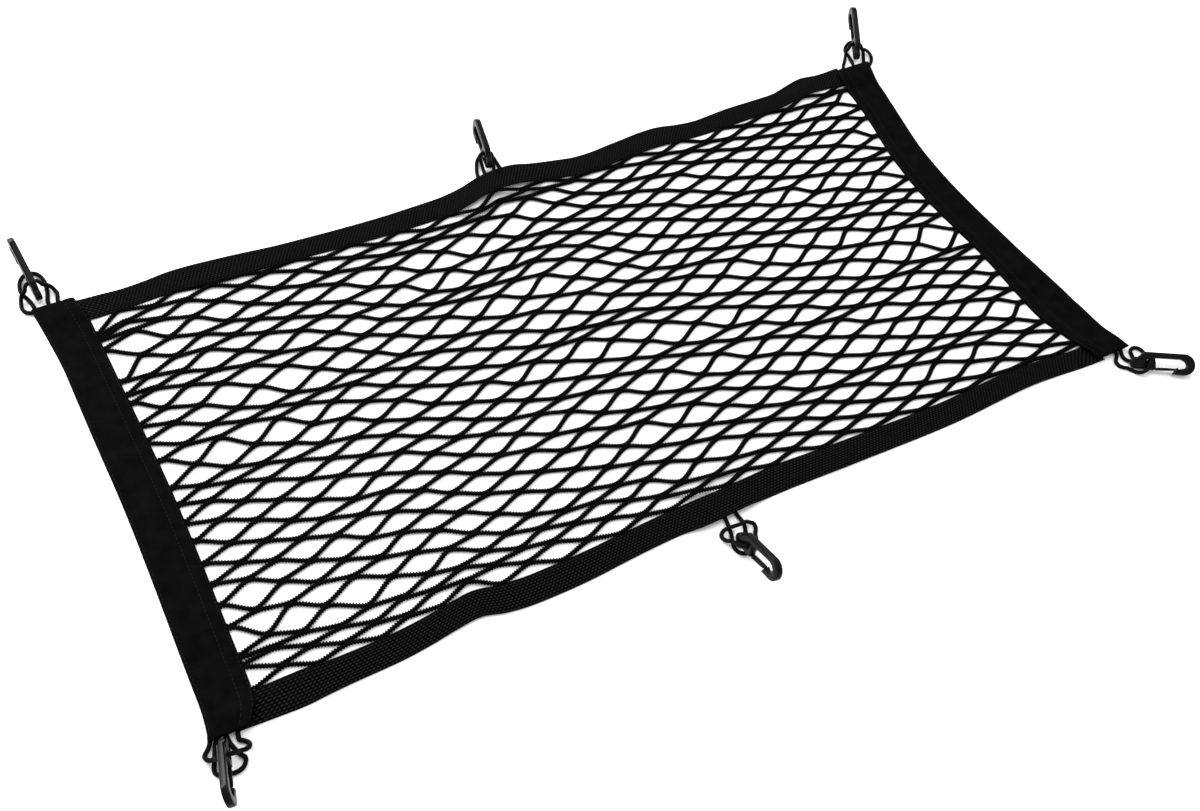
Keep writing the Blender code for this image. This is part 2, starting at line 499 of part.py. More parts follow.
def plate_mesh(name, outlines, thickness):
    """A flat plate of this thickness, centred on its plane, from outlines that share corners."""
    bm = bmesh.new()
    corners = {}
    for outline in outlines:
        face = []
        for along, across in outline:
            key = round(along, 4), round(across, 4)
            if key not in corners:
                corners[key] = bm.verts.new((along * MM, across * MM, -thickness / 2 * MM))
            face.append(corners[key])
        bm.faces.new(face)
    raised = bmesh.ops.extrude_face_region(bm, geom=list(bm.faces))["geom"]
    raised = [thing for thing in raised if isinstance(thing, bmesh.types.BMVert)]
    bmesh.ops.translate(bm, verts=raised, vec=(0, 0, thickness * MM))
    return finish_mesh(bm, name)


def gate_outline():
    """The sprung tongue, about its hinge: a round root and a slim blade whose end meets the nose's slope."""
    reach = NOSE_START - GATE_ALONG
    root = arc(0, 0, GATE_ROOT_RADIUS, GATE_ROOT_RADIUS, 90, 270, 6)
    blade = [(reach + along, across) for along, across in BLADE_CORNERS]
    return root + blade


def hook_matrix(place):
    """The hook's own frame: its length, its spine's side and the normal of its plane."""
    heading, lean, rise = (math.radians(v) for v in (place.heading, place.lean, place.rise))
    left = Vector((-math.sin(heading), math.cos(heading), 0))
    length = Vector((math.cos(heading) * math.cos(rise), math.sin(heading) * math.cos(rise), math.sin(rise)))
    spine = length.cross(left) * math.cos(lean) + left * math.sin(lean)
    turn = Matrix((length, spine, length.cross(spine))).transposed().to_4x4()
    return Matrix.Translation(Vector((place.x, place.y, place.height)) * MM) @ turn


def hook_and_gate(where, place, meshes):
    hook = bpy.data.objects.new("hook_" + where, meshes["hook"])
    gate = bpy.data.objects.new("gate_" + where, meshes["gate"])
    for part in (hook, gate):
        bpy.context.scene.collection.objects.link(part)
    hook.matrix_world = hook_matrix(place)
    bevel = hook.modifiers.new("rounded_edges", "BEVEL")
    bevel.width = HOOK_EDGE * MM
    bevel.segments = 1
    bevel.limit_method = "ANGLE"
    bevel.angle_limit = math.radians(BEVEL_ABOVE_DEGREES)
    gate.parent = hook
    gate.location = Vector((GATE_ALONG, GATE_ACROSS, 0)) * MM


def hook_meshes(surface):
    meshes = {
        "hook": plate_mesh("hook", hook_outline(), HOOK_THICKNESS),
        "gate": plate_mesh("gate", [gate_outline()], GATE_THICKNESS),
    }
    for mesh in meshes.values():
        mesh.materials.append(surface)
    return meshes


def turn_point(turn, place):
    """Where one point of a cord's route lies, in millimetres."""
    if turn.frame == "hook":
        return hook_matrix(place) @ (Vector((turn.along, turn.height, -turn.side)) * MM) / MM
    heading = math.radians(place.heading)
    ahead = Vector((math.cos(heading), math.sin(heading), 0))
    left = Vector((-math.sin(heading), math.cos(heading), 0))
    return Vector((place.x, place.y, turn.height)) + ahead * turn.along + left * turn.side


def smooth_route(points):
    """Evenly spaced points on a smooth closed curve through the route's own points."""
    count = len(points)
    fine = []
    for i in range(count):
        knots = [points[(i + step) % count] for step in (-1, 0, 1, 2)]
        fine += [catmull_rom(*knots, k / SAMPLES_A_TURN) for k in range(SAMPLES_A_TURN)]
    fine.append(points[0])
    lengths = [0.0]
    for first, second in zip(fine, fine[1:]):
        lengths.append(lengths[-1] + (second - first).length)
    steps = round(lengths[-1] / CORD_POINT_SPACING)
    route = []
    for step in range(steps):
        target = lengths[-1] * step / steps
        k = next(k for k in range(1, len(fine)) if lengths[k] >= target or k == len(fine) - 1)
        share = (target - lengths[k - 1]) / (lengths[k] - lengths[k - 1])
        route.append(fine[k - 1].lerp(fine[k], share))
    return route


def cord_loop(where, place, surface):
    """The elastic cord that ties a hook to the net's edge."""
    route = smooth_route([turn_point(turn, place) for turn in HITCHES[where]])
    curve = bpy.data.curves.new("loop_" + where, "CURVE")
    curve.dimensions = "3D"
    curve.bevel_depth = CORD_DIAMETER / 2 * MM
    curve.bevel_resolution = CORD_SIDE_RESOLUTION
    spline = curve.splines.new("POLY")
    spline.points.add(len(route) - 1)
    for point, place_mm in zip(spline.points, route):
        point.co = (*(place_mm * MM), 1)
    spline.use_cyclic_u = True
    curve.materials.append(surface)
    made = bpy.data.objects.new("loop_" + where, curve)
    bpy.context.scene.collection.objects.link(made)


def centre_on_origin():
    """Moves everything so that the origin lies under the middle of the whole object's box."""
    bpy.context.view_layer.update()
    graph = bpy.context.evaluated_depsgraph_get()
    corners = []
    for thing in bpy.context.scene.objects:
        evaluated = thing.evaluated_get(graph)
        mesh = evaluated.to_mesh()
        corners += [evaluated.matrix_world @ vertex.co for vertex in mesh.vertices]
        evaluated.to_mesh_clear()
    middle = Vector((0, 0, 0))
    for axis in (0, 1):
        middle[axis] = (max(c[axis] for c in corners) + min(c[axis] for c in corners)) / 2
    for thing in bpy.context.scene.objects:
        if thing.parent is None:
            thing.location -= middle


def main():
    clear_scene()
    knit = material("knitted_cord", (0.012, 0.012, 0.013), 0.85)
    cloth = material("sleeve_cloth", (0.010, 0.010, 0.011), 0.80)
    webbing = material("elastic_webbing", (0.014, 0.014, 0.014), 0.82)
    cord = material("elastic_cord", (0.013, 0.013, 0.014), 0.75)
    plastic = material("moulded_plastic", (0.020, 0.020, 0.021), 0.35)
    net_mesh(knit)
    sleeve("sleeve_left", SLEEVE_LEFT, cloth)
    sleeve("sleeve_right", SLEEVE_RIGHT, cloth)
    band("band_far", BAND_FAR, webbing)
    band("band_near", BAND_NEAR, webbing)
    meshes = hook_meshes(plastic)
    for where, place in HOOKS.items():
        hook_and_gate(where, place, meshes)
        cord_loop(where, place, cord)
    centre_on_origin()


main()
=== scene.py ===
"""How the elastic cargo net looks: knitted cords, sleeves, ribbed bands, cord loops and snap hooks.

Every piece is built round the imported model, in its frame. Lengths are in millimetres, unless a name
ends in "_m" or "_M", for metres.
"""
import json
import math
from collections import namedtuple

import bmesh
import bpy
import numpy as np
from mathutils import Matrix, Vector


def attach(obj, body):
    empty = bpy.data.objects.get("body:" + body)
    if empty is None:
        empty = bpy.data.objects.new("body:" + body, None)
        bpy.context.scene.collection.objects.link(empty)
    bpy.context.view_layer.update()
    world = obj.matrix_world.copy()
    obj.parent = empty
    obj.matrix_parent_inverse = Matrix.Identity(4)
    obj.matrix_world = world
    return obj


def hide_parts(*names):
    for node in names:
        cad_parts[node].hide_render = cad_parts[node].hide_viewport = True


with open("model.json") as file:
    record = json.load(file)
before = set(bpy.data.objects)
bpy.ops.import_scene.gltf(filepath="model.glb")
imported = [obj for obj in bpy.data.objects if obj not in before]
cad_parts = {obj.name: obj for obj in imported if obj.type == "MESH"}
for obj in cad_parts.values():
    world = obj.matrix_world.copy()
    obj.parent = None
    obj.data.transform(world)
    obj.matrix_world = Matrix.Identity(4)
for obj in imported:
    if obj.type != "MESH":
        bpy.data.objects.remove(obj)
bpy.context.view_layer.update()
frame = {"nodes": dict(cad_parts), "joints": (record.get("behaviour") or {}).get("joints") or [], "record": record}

MM = 0.001
BODY = "net"
# Columns of a strip's sections: its outer edge's x and y, its inner edge's x and y, and its lift
OUTER_X, OUTER_Y, INNER_X, INNER_Y, LIFT = range(5)
PLACES = ("far_left", "far_middle", "far_right", "near_left", "near_middle", "near_right")

# Smooth curves: places read on a curve for each of the points it runs through
SAMPLES_A_POINT = 12

# Net of knitted cord: columns of joints along it, and levels of joints across it
NET_COLUMNS = 31
NET_LEVELS = 39
NET_SEED = 11
NET_PIECES = 4
NET_CORD = 3.0
NET_CENTRE_HEIGHT = 1.5
CORD_SIDES = 7
# A cord's cover: from ring to ring the cord swells and shrinks, and sways to the left and the right
KNIT_STEP = 0.95
KNIT_BEAD = 0.03
KNIT_SWAY = 0.55
# Joints of two cords: half their length, how far apart the cords lie, and their tilt in degrees
JOINT_REACH = 1.7
JOINT_SPACING = 2.3
JOINT_TILT = 6.0
# Along the bands a cord lies this share of its usual distance from a joint's middle
EDGE_SPACING_SHARE = 0.6
# How a cord crosses from joint to joint: share of the way along, and of the way across
CROSSING = ((0.0, 0.0), (0.25, 0.215), (0.5, 0.5), (0.75, 0.785), (1.0, 1.0))
# Ends: how far they run under the sleeves, over what length they are pressed flat, and their half
# thickness and height there
UNDER_SLEEVE = 5.0
SQUASH_REACH = 5.0
SQUASHED_HALF = 0.55
SQUASHED_HEIGHT = 1.25
# How far joints stray along the net: each by itself, in slow waves over a grid, and at the ends
DRIFT_ALONG = 0.9
WAVE_ALONG = 2.4
WAVE_CELLS = (10, 13)
END_DRIFT = 3.6
# The rows nearest the long sides are lower
EDGE_LEVELS = 3.0
EDGE_SQUEEZE = 0.30
# Unevenness of the rows' heights, as logarithms: over a few rows, row by row and joint by joint
ROWS_SWELL = 0.20
ROWS_CELLS = (6, 9)
ROW_SWELL = 0.50
ROW_CELLS_ALONG = 8
JOINT_SWELL = 0.10
# The same at the two ends, and over how many columns it fades
END_SWELL_LEFT = 0.6
END_SWELL_RIGHT = 0.45
END_COLUMNS = 1.8
# Rows over which the unevenness evens out, so that it doesn't bend the whole net
EVEN_ROWS = 7
# How far from a band the net still rises with it
LIFT_REACH = 22.0

# Sleeves: folded cloth
CLOTH_HALF = 0.25
CLOTH_STEP_ALONG = 1.6
CLOTH_STEP_ACROSS = 1.0
# Creases press only the top: the height where their depth sets in, and over how much it gets full
TOP_START = 1.2
TOP_BLEND = 0.8
# How far a crease of slant 1 runs along the sleeve over the sleeve's width
SLANT_RUN = 30
# Small ripples beside the net: depth, length, stray in radians and its rate, and where they set in
RIPPLE_DEPTH = 0.09
RIPPLE_LENGTH = 3.1
RIPPLE_STRAY = 2.0
RIPPLE_STRAY_RATE = 17
RIPPLE_START = 0.55
RIPPLE_BLEND = 0.4
# Stitches
STITCH_PITCH = 3.0
STITCH_LENGTH = 2.3
STITCH_SAG = 0.35
STITCH_SIDES = 6
# A stitch's thread: share of the way along it, and radius there
STITCH_SHAPE = ((0.0, 0.08), (0.12, 0.22), (0.35, 0.27), (0.65, 0.27), (0.88, 0.22), (1.0, 0.08))

# Bands: elastic webbing
BAND_RIBS = 11
BAND_RIB_HEIGHT = 0.5
BAND_KNOT_HEIGHT = 0.3
BAND_STEP = 0.65
BAND_STEPS_A_RIB = 5
BAND_RINGS_A_KNOT = 2
BAND_UNDER_STEPS = 12
BAND_THICKNESS = 1.75
BAND_CLEARANCE = 0.05
# Exponents: below 1 fills a rib's top out, above 2 keeps the webbing flat up to its rounded edges
RIB_FULLNESS = 0.8
EDGE_FLATNESS = 9
# How far the ends run on into the sleeves, and the exponent that keeps the pull to the very ends
BAND_TUCK = 6.5
TUCK_POWER = 40
# Share of the tuck that is webbing taken from beside the sleeve
BAND_TUCK_TAKEN = 0.6
# Share of the webbing's thickness and relief left where it is pressed flat under a sleeve
BAND_PRESSED_SHARE = 0.55
# Name of the attribute that says how far a corner stands up from the grooves, from 0 to 1. The webbing's colour
# follows it: painted shade in the grooves, painted light on ribs and knots
RAISED = "raised"
# Its value on a rib, and how much more it is on a knot and less between two knots
RIB_RAISED = 0.72
KNOT_RAISED = 0.28
# Keeps the last rib's outer edge from counting as one rib more
JUST_INSIDE = 0.9999

# Cord loops
LOOP_CORD = 2.8
LOOP_SIDES = 16
LOOP_STEP = 0.55
LOOP_RELIEF = 0.06
LOOP_PLAIT = 2.3
LOOP_STRANDS = 4
# Any direction that no cord runs in
ASKEW = (0.3, 0.2, 1.0)

# Hook, in its own plane: along its length from the eye's end, and across it towards the spine
HOOK_LENGTH = 48.5
HOOK_WIDTH = 15.8
HOOK_THICKNESS = 4.4
HOOK_EDGE = 1.0
SPINE_WIDTH = 4.2
TIP_THICKNESS = 6.0
BASE_RADIUS = 4.4
BASE_CENTRE_ACROSS = -0.6
BLOCK_TOP_START = 10.5
BLOCK_END = 18.8
BLOCK_UNDERSIDE = -5.4
BLOCK_CORNER_ALONG = 1.0
BLOCK_CORNER_ACROSS = 0.6
BLOCK_TOP_SLOPE = 0.4
BEND_RADIUS = 5.5
BEND_CENTRE_ACROSS = -0.1
NOSE_START = 31.5
# The nose's slope: how far past its start and in from the hook's underside each corner lies
NOSE_CORNERS = ((4.4, 4.0), (3.4, 5.6), (0.0, 0.4))
EYE_ALONG = 13.5
EYE_ACROSS = 0.5
EYE_RADIUS = 2.1
GATE_ALONG = 20.0
GATE_ACROSS = -4.4
GATE_THICKNESS = 3.6
GATE_ROOT_RADIUS = 0.9
GATE_EDGE = 0.45
# The tongue's blade: how far past the nose's start and across from the hinge each corner lies
BLADE_CORNERS = ((-5.0, -0.7), (1.2, -0.4), (2.1, 1.0), (-5.0, 1.1))
# Steps on the round stretches of the outlines
BASE_STEPS = 12
BEND_STEPS = 20
TIP_STEPS = 28
EYE_STEPS = 16
GATE_ROOT_STEPS = 12
EDGE_SEGMENTS = 3
BEVEL_ABOVE_DEGREES = 60
SMOOTH_BELOW_DEGREES = 35

# Floor and light
FLOOR_HALF = 4000.0
WORLD_STRENGTH = 1.05
Lamp = namedtuple("Lamp", "name place_m size_m power_w")
LAMPS = (
    Lamp("soft_top", (0.2, 0.3, 1.8), (1.6, 1.2), 16),
    Lamp("soft_back", (-0.7, 1.4, 0.9), (1.2, 0.5), 45),
)

# Camera, its turn in degrees
CAMERA_PLACE_M = (-0.37295, -0.48069, 0.75786)
CAMERA_TURN = (34.956, -6.283, -28.292)
CAMERA_LENS = 40.68
CAMERA_SENSOR = 36.0


def node_points(node):
    """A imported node's corners."""
    vertices = frame["nodes"][node].data.vertices
    points = np.empty(len(vertices) * 3, np.float32)
    vertices.foreach_get("co", points)
    return points.reshape(-1, 3).astype(float) / MM


def strip_rows(points, order, gap, across):
    """Sections of a packed strip from its corners, whose order jumps by over a gap at each ring."""
    ranks = np.argsort(order)
    rings = np.split(points[ranks], np.flatnonzero(np.diff(order[ranks]) > gap) + 1)
    rows = []
    for ring in rings:
        reach = np.abs(ring[:, across])
        outer, inner = ring[np.argmax(reach)], ring[np.argmin(reach)]
        rows.append((outer[0], outer[1], inner[0], inner[1], ring[:, 2].min()))
    return np.array(rows)


def sleeve_rows(node):
    """A sleeve's rings lie straight across the net's length."""
    points = node_points(node)
    return strip_rows(points, points[:, 1], gap=4.0, across=0)


def inner_edge(node, y):
    """X of a sleeve's inner edge at a place across the net."""
    rows = SLEEVES[node]
    start, end = rows[0, OUTER_Y], rows[-1, OUTER_Y]
    return smooth(rows, (y - start) / (end - start))[..., INNER_X]


def band_rows(node):
    """A band's rings slant with the sleeves: shares of the way between those put them in order."""
    points = node_points(node)
    left = inner_edge("sleeve_left", points[:, 1])
    right = inner_edge("sleeve_right", points[:, 1])
    return strip_rows(points, (points[:, 0] - left) / (right - left), gap=0.01, across=1)


def curve_places(before, start, end, after, part):
    """Places between start and end, this part of the way, on the smooth curve through all four."""
    return 0.5 * (
        2 * start
        + (end - before) * part
        + (2 * before - 5 * start + 4 * end - after) * part ** 2
        + (3 * start - before - 3 * end + after) * part ** 3
    )


def smooth(rows, shares):
    """Rows read at these shares of the way along them, on a smooth curve through them all."""
    last = len(rows) - 1
    places = np.clip(np.asarray(shares, float), 0, 1) * last
    first = np.minimum(places.astype(int), last - 1)
    part = (places - first).reshape(first.shape + (1,) * (rows.ndim - 1))
    return curve_places(*(rows[np.clip(first + step, 0, last)] for step in (-1, 0, 1, 2)), part)


# Sections of the strips along their length
SLEEVES = {name: sleeve_rows(name) for name in ("sleeve_left", "sleeve_right")}
BANDS = {name: band_rows(name) for name in ("band_far", "band_near")}


def even_points(points, spacing, closed=False):
    """Evenly spaced points on a smooth curve through these."""
    points = np.asarray(points, float)
    count = len(points) if closed else len(points) - 1
    index = np.arange(count) + np.array([-1, 0, 1, 2])[:, None]
    index = index % len(points) if closed else np.clip(index, 0, count)
    part = (np.arange(SAMPLES_A_POINT) / SAMPLES_A_POINT)[None, :, None]
    fine = curve_places(*points[index][:, :, None], part).reshape(-1, 3)
    fine = np.vstack([fine, points[:1] if closed else points[-1:]])
    lengths = np.concatenate([[0], np.cumsum(np.linalg.norm(np.diff(fine, axis=0), axis=1))])
    steps = max(2, round(lengths[-1] / spacing))
    targets = np.linspace(0, lengths[-1], steps + 1)
    if closed:
        targets = targets[:-1]
    return np.stack([np.interp(targets, lengths, fine[:, axis]) for axis in range(3)], axis=1)


def unit(vectors):
    """These directions, each of length 1."""
    return vectors / np.linalg.norm(vectors, axis=-1, keepdims=True)


def add_object(name, data):
    """An object with this data, in the scene."""
    made = bpy.data.objects.new(name, data)
    bpy.context.scene.collection.objects.link(made)
    return made


def dress(mesh, surface, body, replaces):
    """A piece of this mesh and material that rides on a body."""
    mesh.materials.append(surface)
    piece = add_object(mesh.name, mesh)
    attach(piece, body)
    if replaces:
        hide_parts(*replaces)
    return piece


def mesh_piece(name, points, faces, surface, replaces=()):
    """A piece of the net's body, from points in millimetres and faces."""
    mesh = bpy.data.meshes.new(name)
    mesh.from_pydata(np.asarray(points) * MM, [], faces)
    mesh.shade_smooth()
    return dress(mesh, surface, BODY, replaces)


def ring_faces(rings, sides, closed=False, capped=True, first=0):
    """Four-sided faces between rings of points, and a cap at each open end."""
    ring = np.arange(rings if closed else rings - 1)[:, None]
    side = np.arange(sides)[None, :]
    after = (ring + 1) % rings
    turned = (side + 1) % sides
    quads = np.stack([
        ring * sides + side, ring * sides + turned, after * sides + turned, after * sides + side,
    ], axis=-1).reshape(-1, 4) + first
    faces = quads.tolist()
    if capped and not closed:
        faces.append([first + i for i in reversed(range(sides))])
        faces.append([first + (rings - 1) * sides + i for i in range(sides)])
    return faces


# ---------------------------------------------------------------- materials

def shader_of(name, colour, roughness, specular):
    """A new material, its nodes and its shader."""
    made = bpy.data.materials.new(name)
    made.use_nodes = True
    shader = made.node_tree.nodes["Principled BSDF"]
    shader.inputs["Base Color"].default_value = (*colour, 1.0)
    shader.inputs["Roughness"].default_value = roughness
    shader.inputs["Specular IOR Level"].default_value = specular
    return made, made.node_tree, shader


def add_node(tree, kind, settings=None, inputs=None):
    """A node with these settings, each input a value or a link from another node."""
    node = tree.nodes.new(kind)
    for name, value in (settings or {}).items():
        setattr(node, name, value)
    for name, value in (inputs or {}).items():
        if isinstance(value, bpy.types.NodeSocket):
            tree.links.new(value, node.inputs[name])
        else:
            node.inputs[name].default_value = value
    return node


def object_place(tree):
    """The place on the object, in metres."""
    return add_node(tree, "ShaderNodeTexCoord").outputs["Object"]


def noise(tree, place, period_mm, detail=3.0):
    """Soft noise from 0 to 1."""
    inputs = {"Vector": place, "Scale": 1 / (period_mm * MM), "Detail": detail}
    return add_node(tree, "ShaderNodeTexNoise", inputs=inputs).outputs["Fac"]


def wave(tree, place, period_mm, direction, distortion):
    """Stripes from 0 to 1, across this direction."""
    radians_a_scale = 20
    scale = 2 * math.pi / (radians_a_scale * period_mm * MM)
    settings = {"wave_type": "BANDS", "bands_direction": direction}
    inputs = {"Vector": place, "Scale": scale, "Distortion": distortion}
    return add_node(tree, "ShaderNodeTexWave", settings, inputs).outputs["Fac"]


def maths(tree, operation, first, second):
    """The two values added, multiplied or raised."""
    node = add_node(tree, "ShaderNodeMath", {"operation": operation}, {0: first, 1: second})
    return node.outputs[0]


def vary_colour(tree, shader, amount, dark, light):
    """Shade the colour from dark to light by this amount."""
    mix = add_node(tree, "ShaderNodeMix", {"data_type": "RGBA"}, {0: amount})
    mix.inputs["A"].default_value = (*dark, 1)
    mix.inputs["B"].default_value = (*light, 1)
    tree.links.new(mix.outputs["Result"], shader.inputs["Base Color"])


def vary_roughness(tree, shader, amount, start, end):
    """Change the roughness from start to end by this amount."""
    inputs = {"Value": amount, "To Min": start, "To Max": end}
    span = add_node(tree, "ShaderNodeMapRange", inputs=inputs)
    tree.links.new(span.outputs["Result"], shader.inputs["Roughness"])


def add_bump(tree, shader, height, depth_mm):
    """Raise the surface by this height, times the depth."""
    bump = add_node(tree, "ShaderNodeBump", inputs={"Height": height, "Distance": depth_mm * MM})
    tree.links.new(bump.outputs["Normal"], shader.inputs["Normal"])


def knitted_material():
    """Elastic cord with a knitted cover: matt black yarn."""
    made, tree, shader = shader_of("knitted_black_yarn", (0.0015,) * 3, 0.9, specular=0.015)
    place = object_place(tree)
    fibre = noise(tree, place, 0.5, 4.0)
    vary_colour(tree, shader, noise(tree, place, 4.0), (0.0004,) * 3, (0.0028,) * 3)
    vary_roughness(tree, shader, fibre, 0.72, 0.95)
    add_bump(tree, shader, fibre, 0.16)
    return made


def cloth_material():
    """Plain-woven polyester of the sleeves: fine warp and weft, with broad soft shading."""
    made, tree, shader = shader_of("woven_black_cloth", (0.002,) * 3, 0.85, specular=0.014)
    place = object_place(tree)
    warp = wave(tree, place, 0.55, "X", 0.6)
    weft = wave(tree, place, 0.55, "Y", 0.6)
    weave = maths(tree, "MULTIPLY", warp, weft)
    broad = noise(tree, place, 9.0)
    vary_colour(tree, shader, broad, (0.0002,) * 3, (0.0035,) * 3)
    vary_roughness(tree, shader, weave, 0.90, 0.70)
    puckers = maths(tree, "MULTIPLY", noise(tree, place, 3.0), 0.8)
    add_bump(tree, shader, maths(tree, "ADD", weave, puckers), 0.10)
    return made


def webbing_material():
    """Elastic webbing: black yarn over rubber, with painted shade in its grooves and painted light on its ribs and
    raised knots.
    """
    made, tree, shader = shader_of("elastic_black_webbing", (0.006,) * 3, 0.85, specular=0.015)
    place = object_place(tree)
    picks = wave(tree, place, 0.65, "X", 0.8)
    fibre = noise(tree, place, 0.5, 4.0)
    raised = add_node(tree, "ShaderNodeAttribute", {"attribute_name": RAISED}).outputs["Fac"]
    # Painted shade and light: black in the grooves, paler on the ribs and paler still on the knots, made patchy by
    # soft noise
    ribs = maths(tree, "POWER", raised, 2.5)
    patchy_light = maths(tree, "ADD", noise(tree, place, 2.5), 0.5)
    knots = maths(tree, "MULTIPLY", ribs, patchy_light)
    vary_colour(tree, shader, knots, (0.0, 0.0, 0.0), (0.0150, 0.0150, 0.0145))
    vary_roughness(tree, shader, fibre, 0.65, 0.9)
    add_bump(tree, shader, maths(tree, "ADD", picks, fibre), 0.08)
    return made


def loop_material():
    """Thin elastic cord with a tight plaited cover."""
    made, tree, shader = shader_of("plaited_black_cord", (0.003,) * 3, 0.65, specular=0.04)
    place = object_place(tree)
    fibre = noise(tree, place, 0.4, 4.0)
    vary_colour(tree, shader, fibre, (0.0005,) * 3, (0.004,) * 3)
    vary_roughness(tree, shader, fibre, 0.5, 0.75)
    add_bump(tree, shader, fibre, 0.08)
    return made


def plastic_material():
    """Moulded black plastic: soft gloss, faint flow marks and fine wear."""
    made, tree, shader = shader_of("moulded_black_plastic", (0.002,) * 3, 0.3, specular=0.075)
    place = object_place(tree)
    flow = noise(tree, place, 7.0, 2.0)
    grain = noise(tree, place, 0.6, 5.0)
    vary_colour(tree, shader, flow, (0.0005,) * 3, (0.003,) * 3)
    vary_roughness(tree, shader, maths(tree, "MULTIPLY", grain, flow), 0.18, 0.40)
    add_bump(tree, shader, grain, 0.03)
    return made


def thread_material():
    """Sewing thread, a little glossier than the cloth."""
    made, tree, shader = shader_of("black_sewing_thread", (0.005,) * 3, 0.7, specular=0.05)
    place = object_place(tree)
    twist = wave(tree, place, 0.35, "DIAGONAL", 1.0)
    vary_colour(tree, shader, twist, (0.003,) * 3, (0.008,) * 3)
    add_bump(tree, shader, twist, 0.05)
    return made


def floor_material():
    """Matt white floor."""
    made, tree, shader = shader_of("pale_floor", (0.93,) * 3, 0.9, specular=0.1)
    place = object_place(tree)
    vary_colour(tree, shader, noise(tree, place, 300.0), (0.92,) * 3, (0.94,) * 3)
    return made


# ---------------------------------------------------------------- net

def net_plan(share_x, share_y):
    """X and y of places on the net's plan, from shares of its length and its width."""
    near = smooth(BANDS["band_near"], share_x)[..., INNER_Y]
    far = smooth(BANDS["band_far"], share_x)[..., INNER_Y]
    y = near + share_y * (far - near)
    left = inner_edge("sleeve_left", y)
    right = inner_edge("sleeve_right", y)
    return left + share_x * (right - left), y


def edge_lift(share_x, y):
    """How far the sewn edges near a place raise the net off the ground."""
    lift = np.zeros_like(y)
    for name in BANDS:
        row = smooth(BANDS[name], share_x)
        near = np.clip(1 - np.abs(y - row[..., INNER_Y]) / LIFT_REACH, 0, 1)
        lift = np.maximum(lift, row[..., LIFT] * near ** 2)
    return lift


def wander(random, columns, levels, cells):
    """A slowly changing random field over the net's joints, from about -1 to 1."""
    coarse = random.uniform(-1, 1, (cells[0] + 1, cells[1] + 1))
    along = smooth(coarse, np.linspace(0, 1, columns))
    return smooth(along.T, np.linspace(0, 1, levels)).T


def row_heights(random, shape):
    """Relative heights of the rows between levels at each column: uneven ones, and even ones."""
    columns, rows = shape[0], shape[1] - 1
    row = np.arange(rows) + 0.5
    from_edge = np.minimum(row, rows - row)
    even = 1 - EDGE_SQUEEZE * np.exp(-(from_edge / EDGE_LEVELS) ** 2) + np.zeros((columns, rows))
    column = np.arange(columns)[:, None]
    from_end = np.minimum(column, columns - 1 - column)
    swell = ROWS_SWELL * wander(random, columns, rows, ROWS_CELLS)
    swell = swell + ROW_SWELL * wander(random, columns, rows, (ROW_CELLS_ALONG, rows - 1))
    swell = swell + JOINT_SWELL * random.uniform(-1, 1, (columns, rows))
    end_swell = np.where(column < columns / 2, END_SWELL_LEFT, END_SWELL_RIGHT)
    end_swell = end_swell * np.exp(-(from_end / END_COLUMNS) ** 2)
    swell = swell + end_swell * random.uniform(-1, 1, (columns, rows))
    return even * np.exp(swell), even


def level_shares(uneven, even):
    """Shares of the net's width at which the joints lie, from the rows' uneven and even heights."""
    places = []
    for heights in (uneven, even):
        edges = np.cumsum(np.pad(heights, ((0, 0), (1, 0))), axis=1)
        places.append(edges / edges[:, -1:])
    strayed = places[0] - places[1]
    margin = (EVEN_ROWS // 2, EVEN_ROWS // 2)
    padded = np.pad(strayed, ((0, 0), margin), mode="reflect", reflect_type="odd")
    evened = sum(padded[:, i:i + strayed.shape[1]] for i in range(EVEN_ROWS)) / EVEN_ROWS
    return places[1] + strayed - evened


def net_joints():
    """Places and tilts of the joints between neighbouring cords, by column and level."""
    random = np.random.default_rng(NET_SEED)
    shape = (NET_COLUMNS + 1, NET_LEVELS + 1)
    column = np.arange(shape[0])[:, None] / NET_COLUMNS + np.zeros(shape)
    x, y = net_plan(column, level_shares(*row_heights(random, shape)))
    from_end = np.minimum(column, 1 - column) * NET_COLUMNS
    along = WAVE_ALONG * wander(random, *shape, WAVE_CELLS)
    along = along + DRIFT_ALONG * random.uniform(-1, 1, shape)
    along = np.where(from_end > 0, along, END_DRIFT * random.uniform(-1, 1, shape))
    tilt = np.radians(JOINT_TILT) * random.uniform(-1, 1, shape)
    return x + along, y, tilt


def strand_path(strand, joints):
    """The line of one cord, joined by turns to the cord below it and to the one above it."""
    x, y, tilt = joints
    joined = []
    for column in range(NET_COLUMNS + 1):
        below = (column + strand) % 2 == 0
        level = strand if below else strand + 1
        side = JOINT_SPACING / 2 if below else -JOINT_SPACING / 2
        if level in (0, NET_LEVELS):
            side *= EDGE_SPACING_SHARE
        angle = tilt[column, level]
        ahead = np.array([math.cos(angle), math.sin(angle)])
        left = np.array([-ahead[1], ahead[0]])
        centre = np.array([x[column, level], y[column, level]]) + left * side
        joined.append((centre - ahead * JOINT_REACH, centre + ahead * JOINT_REACH))
    tucked = np.array([UNDER_SLEEVE - JOINT_REACH, 0.0])
    line = [joined[0][0] - tucked]
    shares = [0.0]
    for column in range(NET_COLUMNS):
        start, end = joined[column][1], joined[column + 1][0]
        for along, across in CROSSING:
            line.append(start + (end - start) * (along, across))
            shares.append((column + along) / NET_COLUMNS)
    line = np.array([*line, joined[-1][1] + tucked])
    height = NET_CENTRE_HEIGHT + edge_lift(np.array([*shares, 1.0]), line[:, 1])
    return even_points(np.column_stack([line, height]), KNIT_STEP)


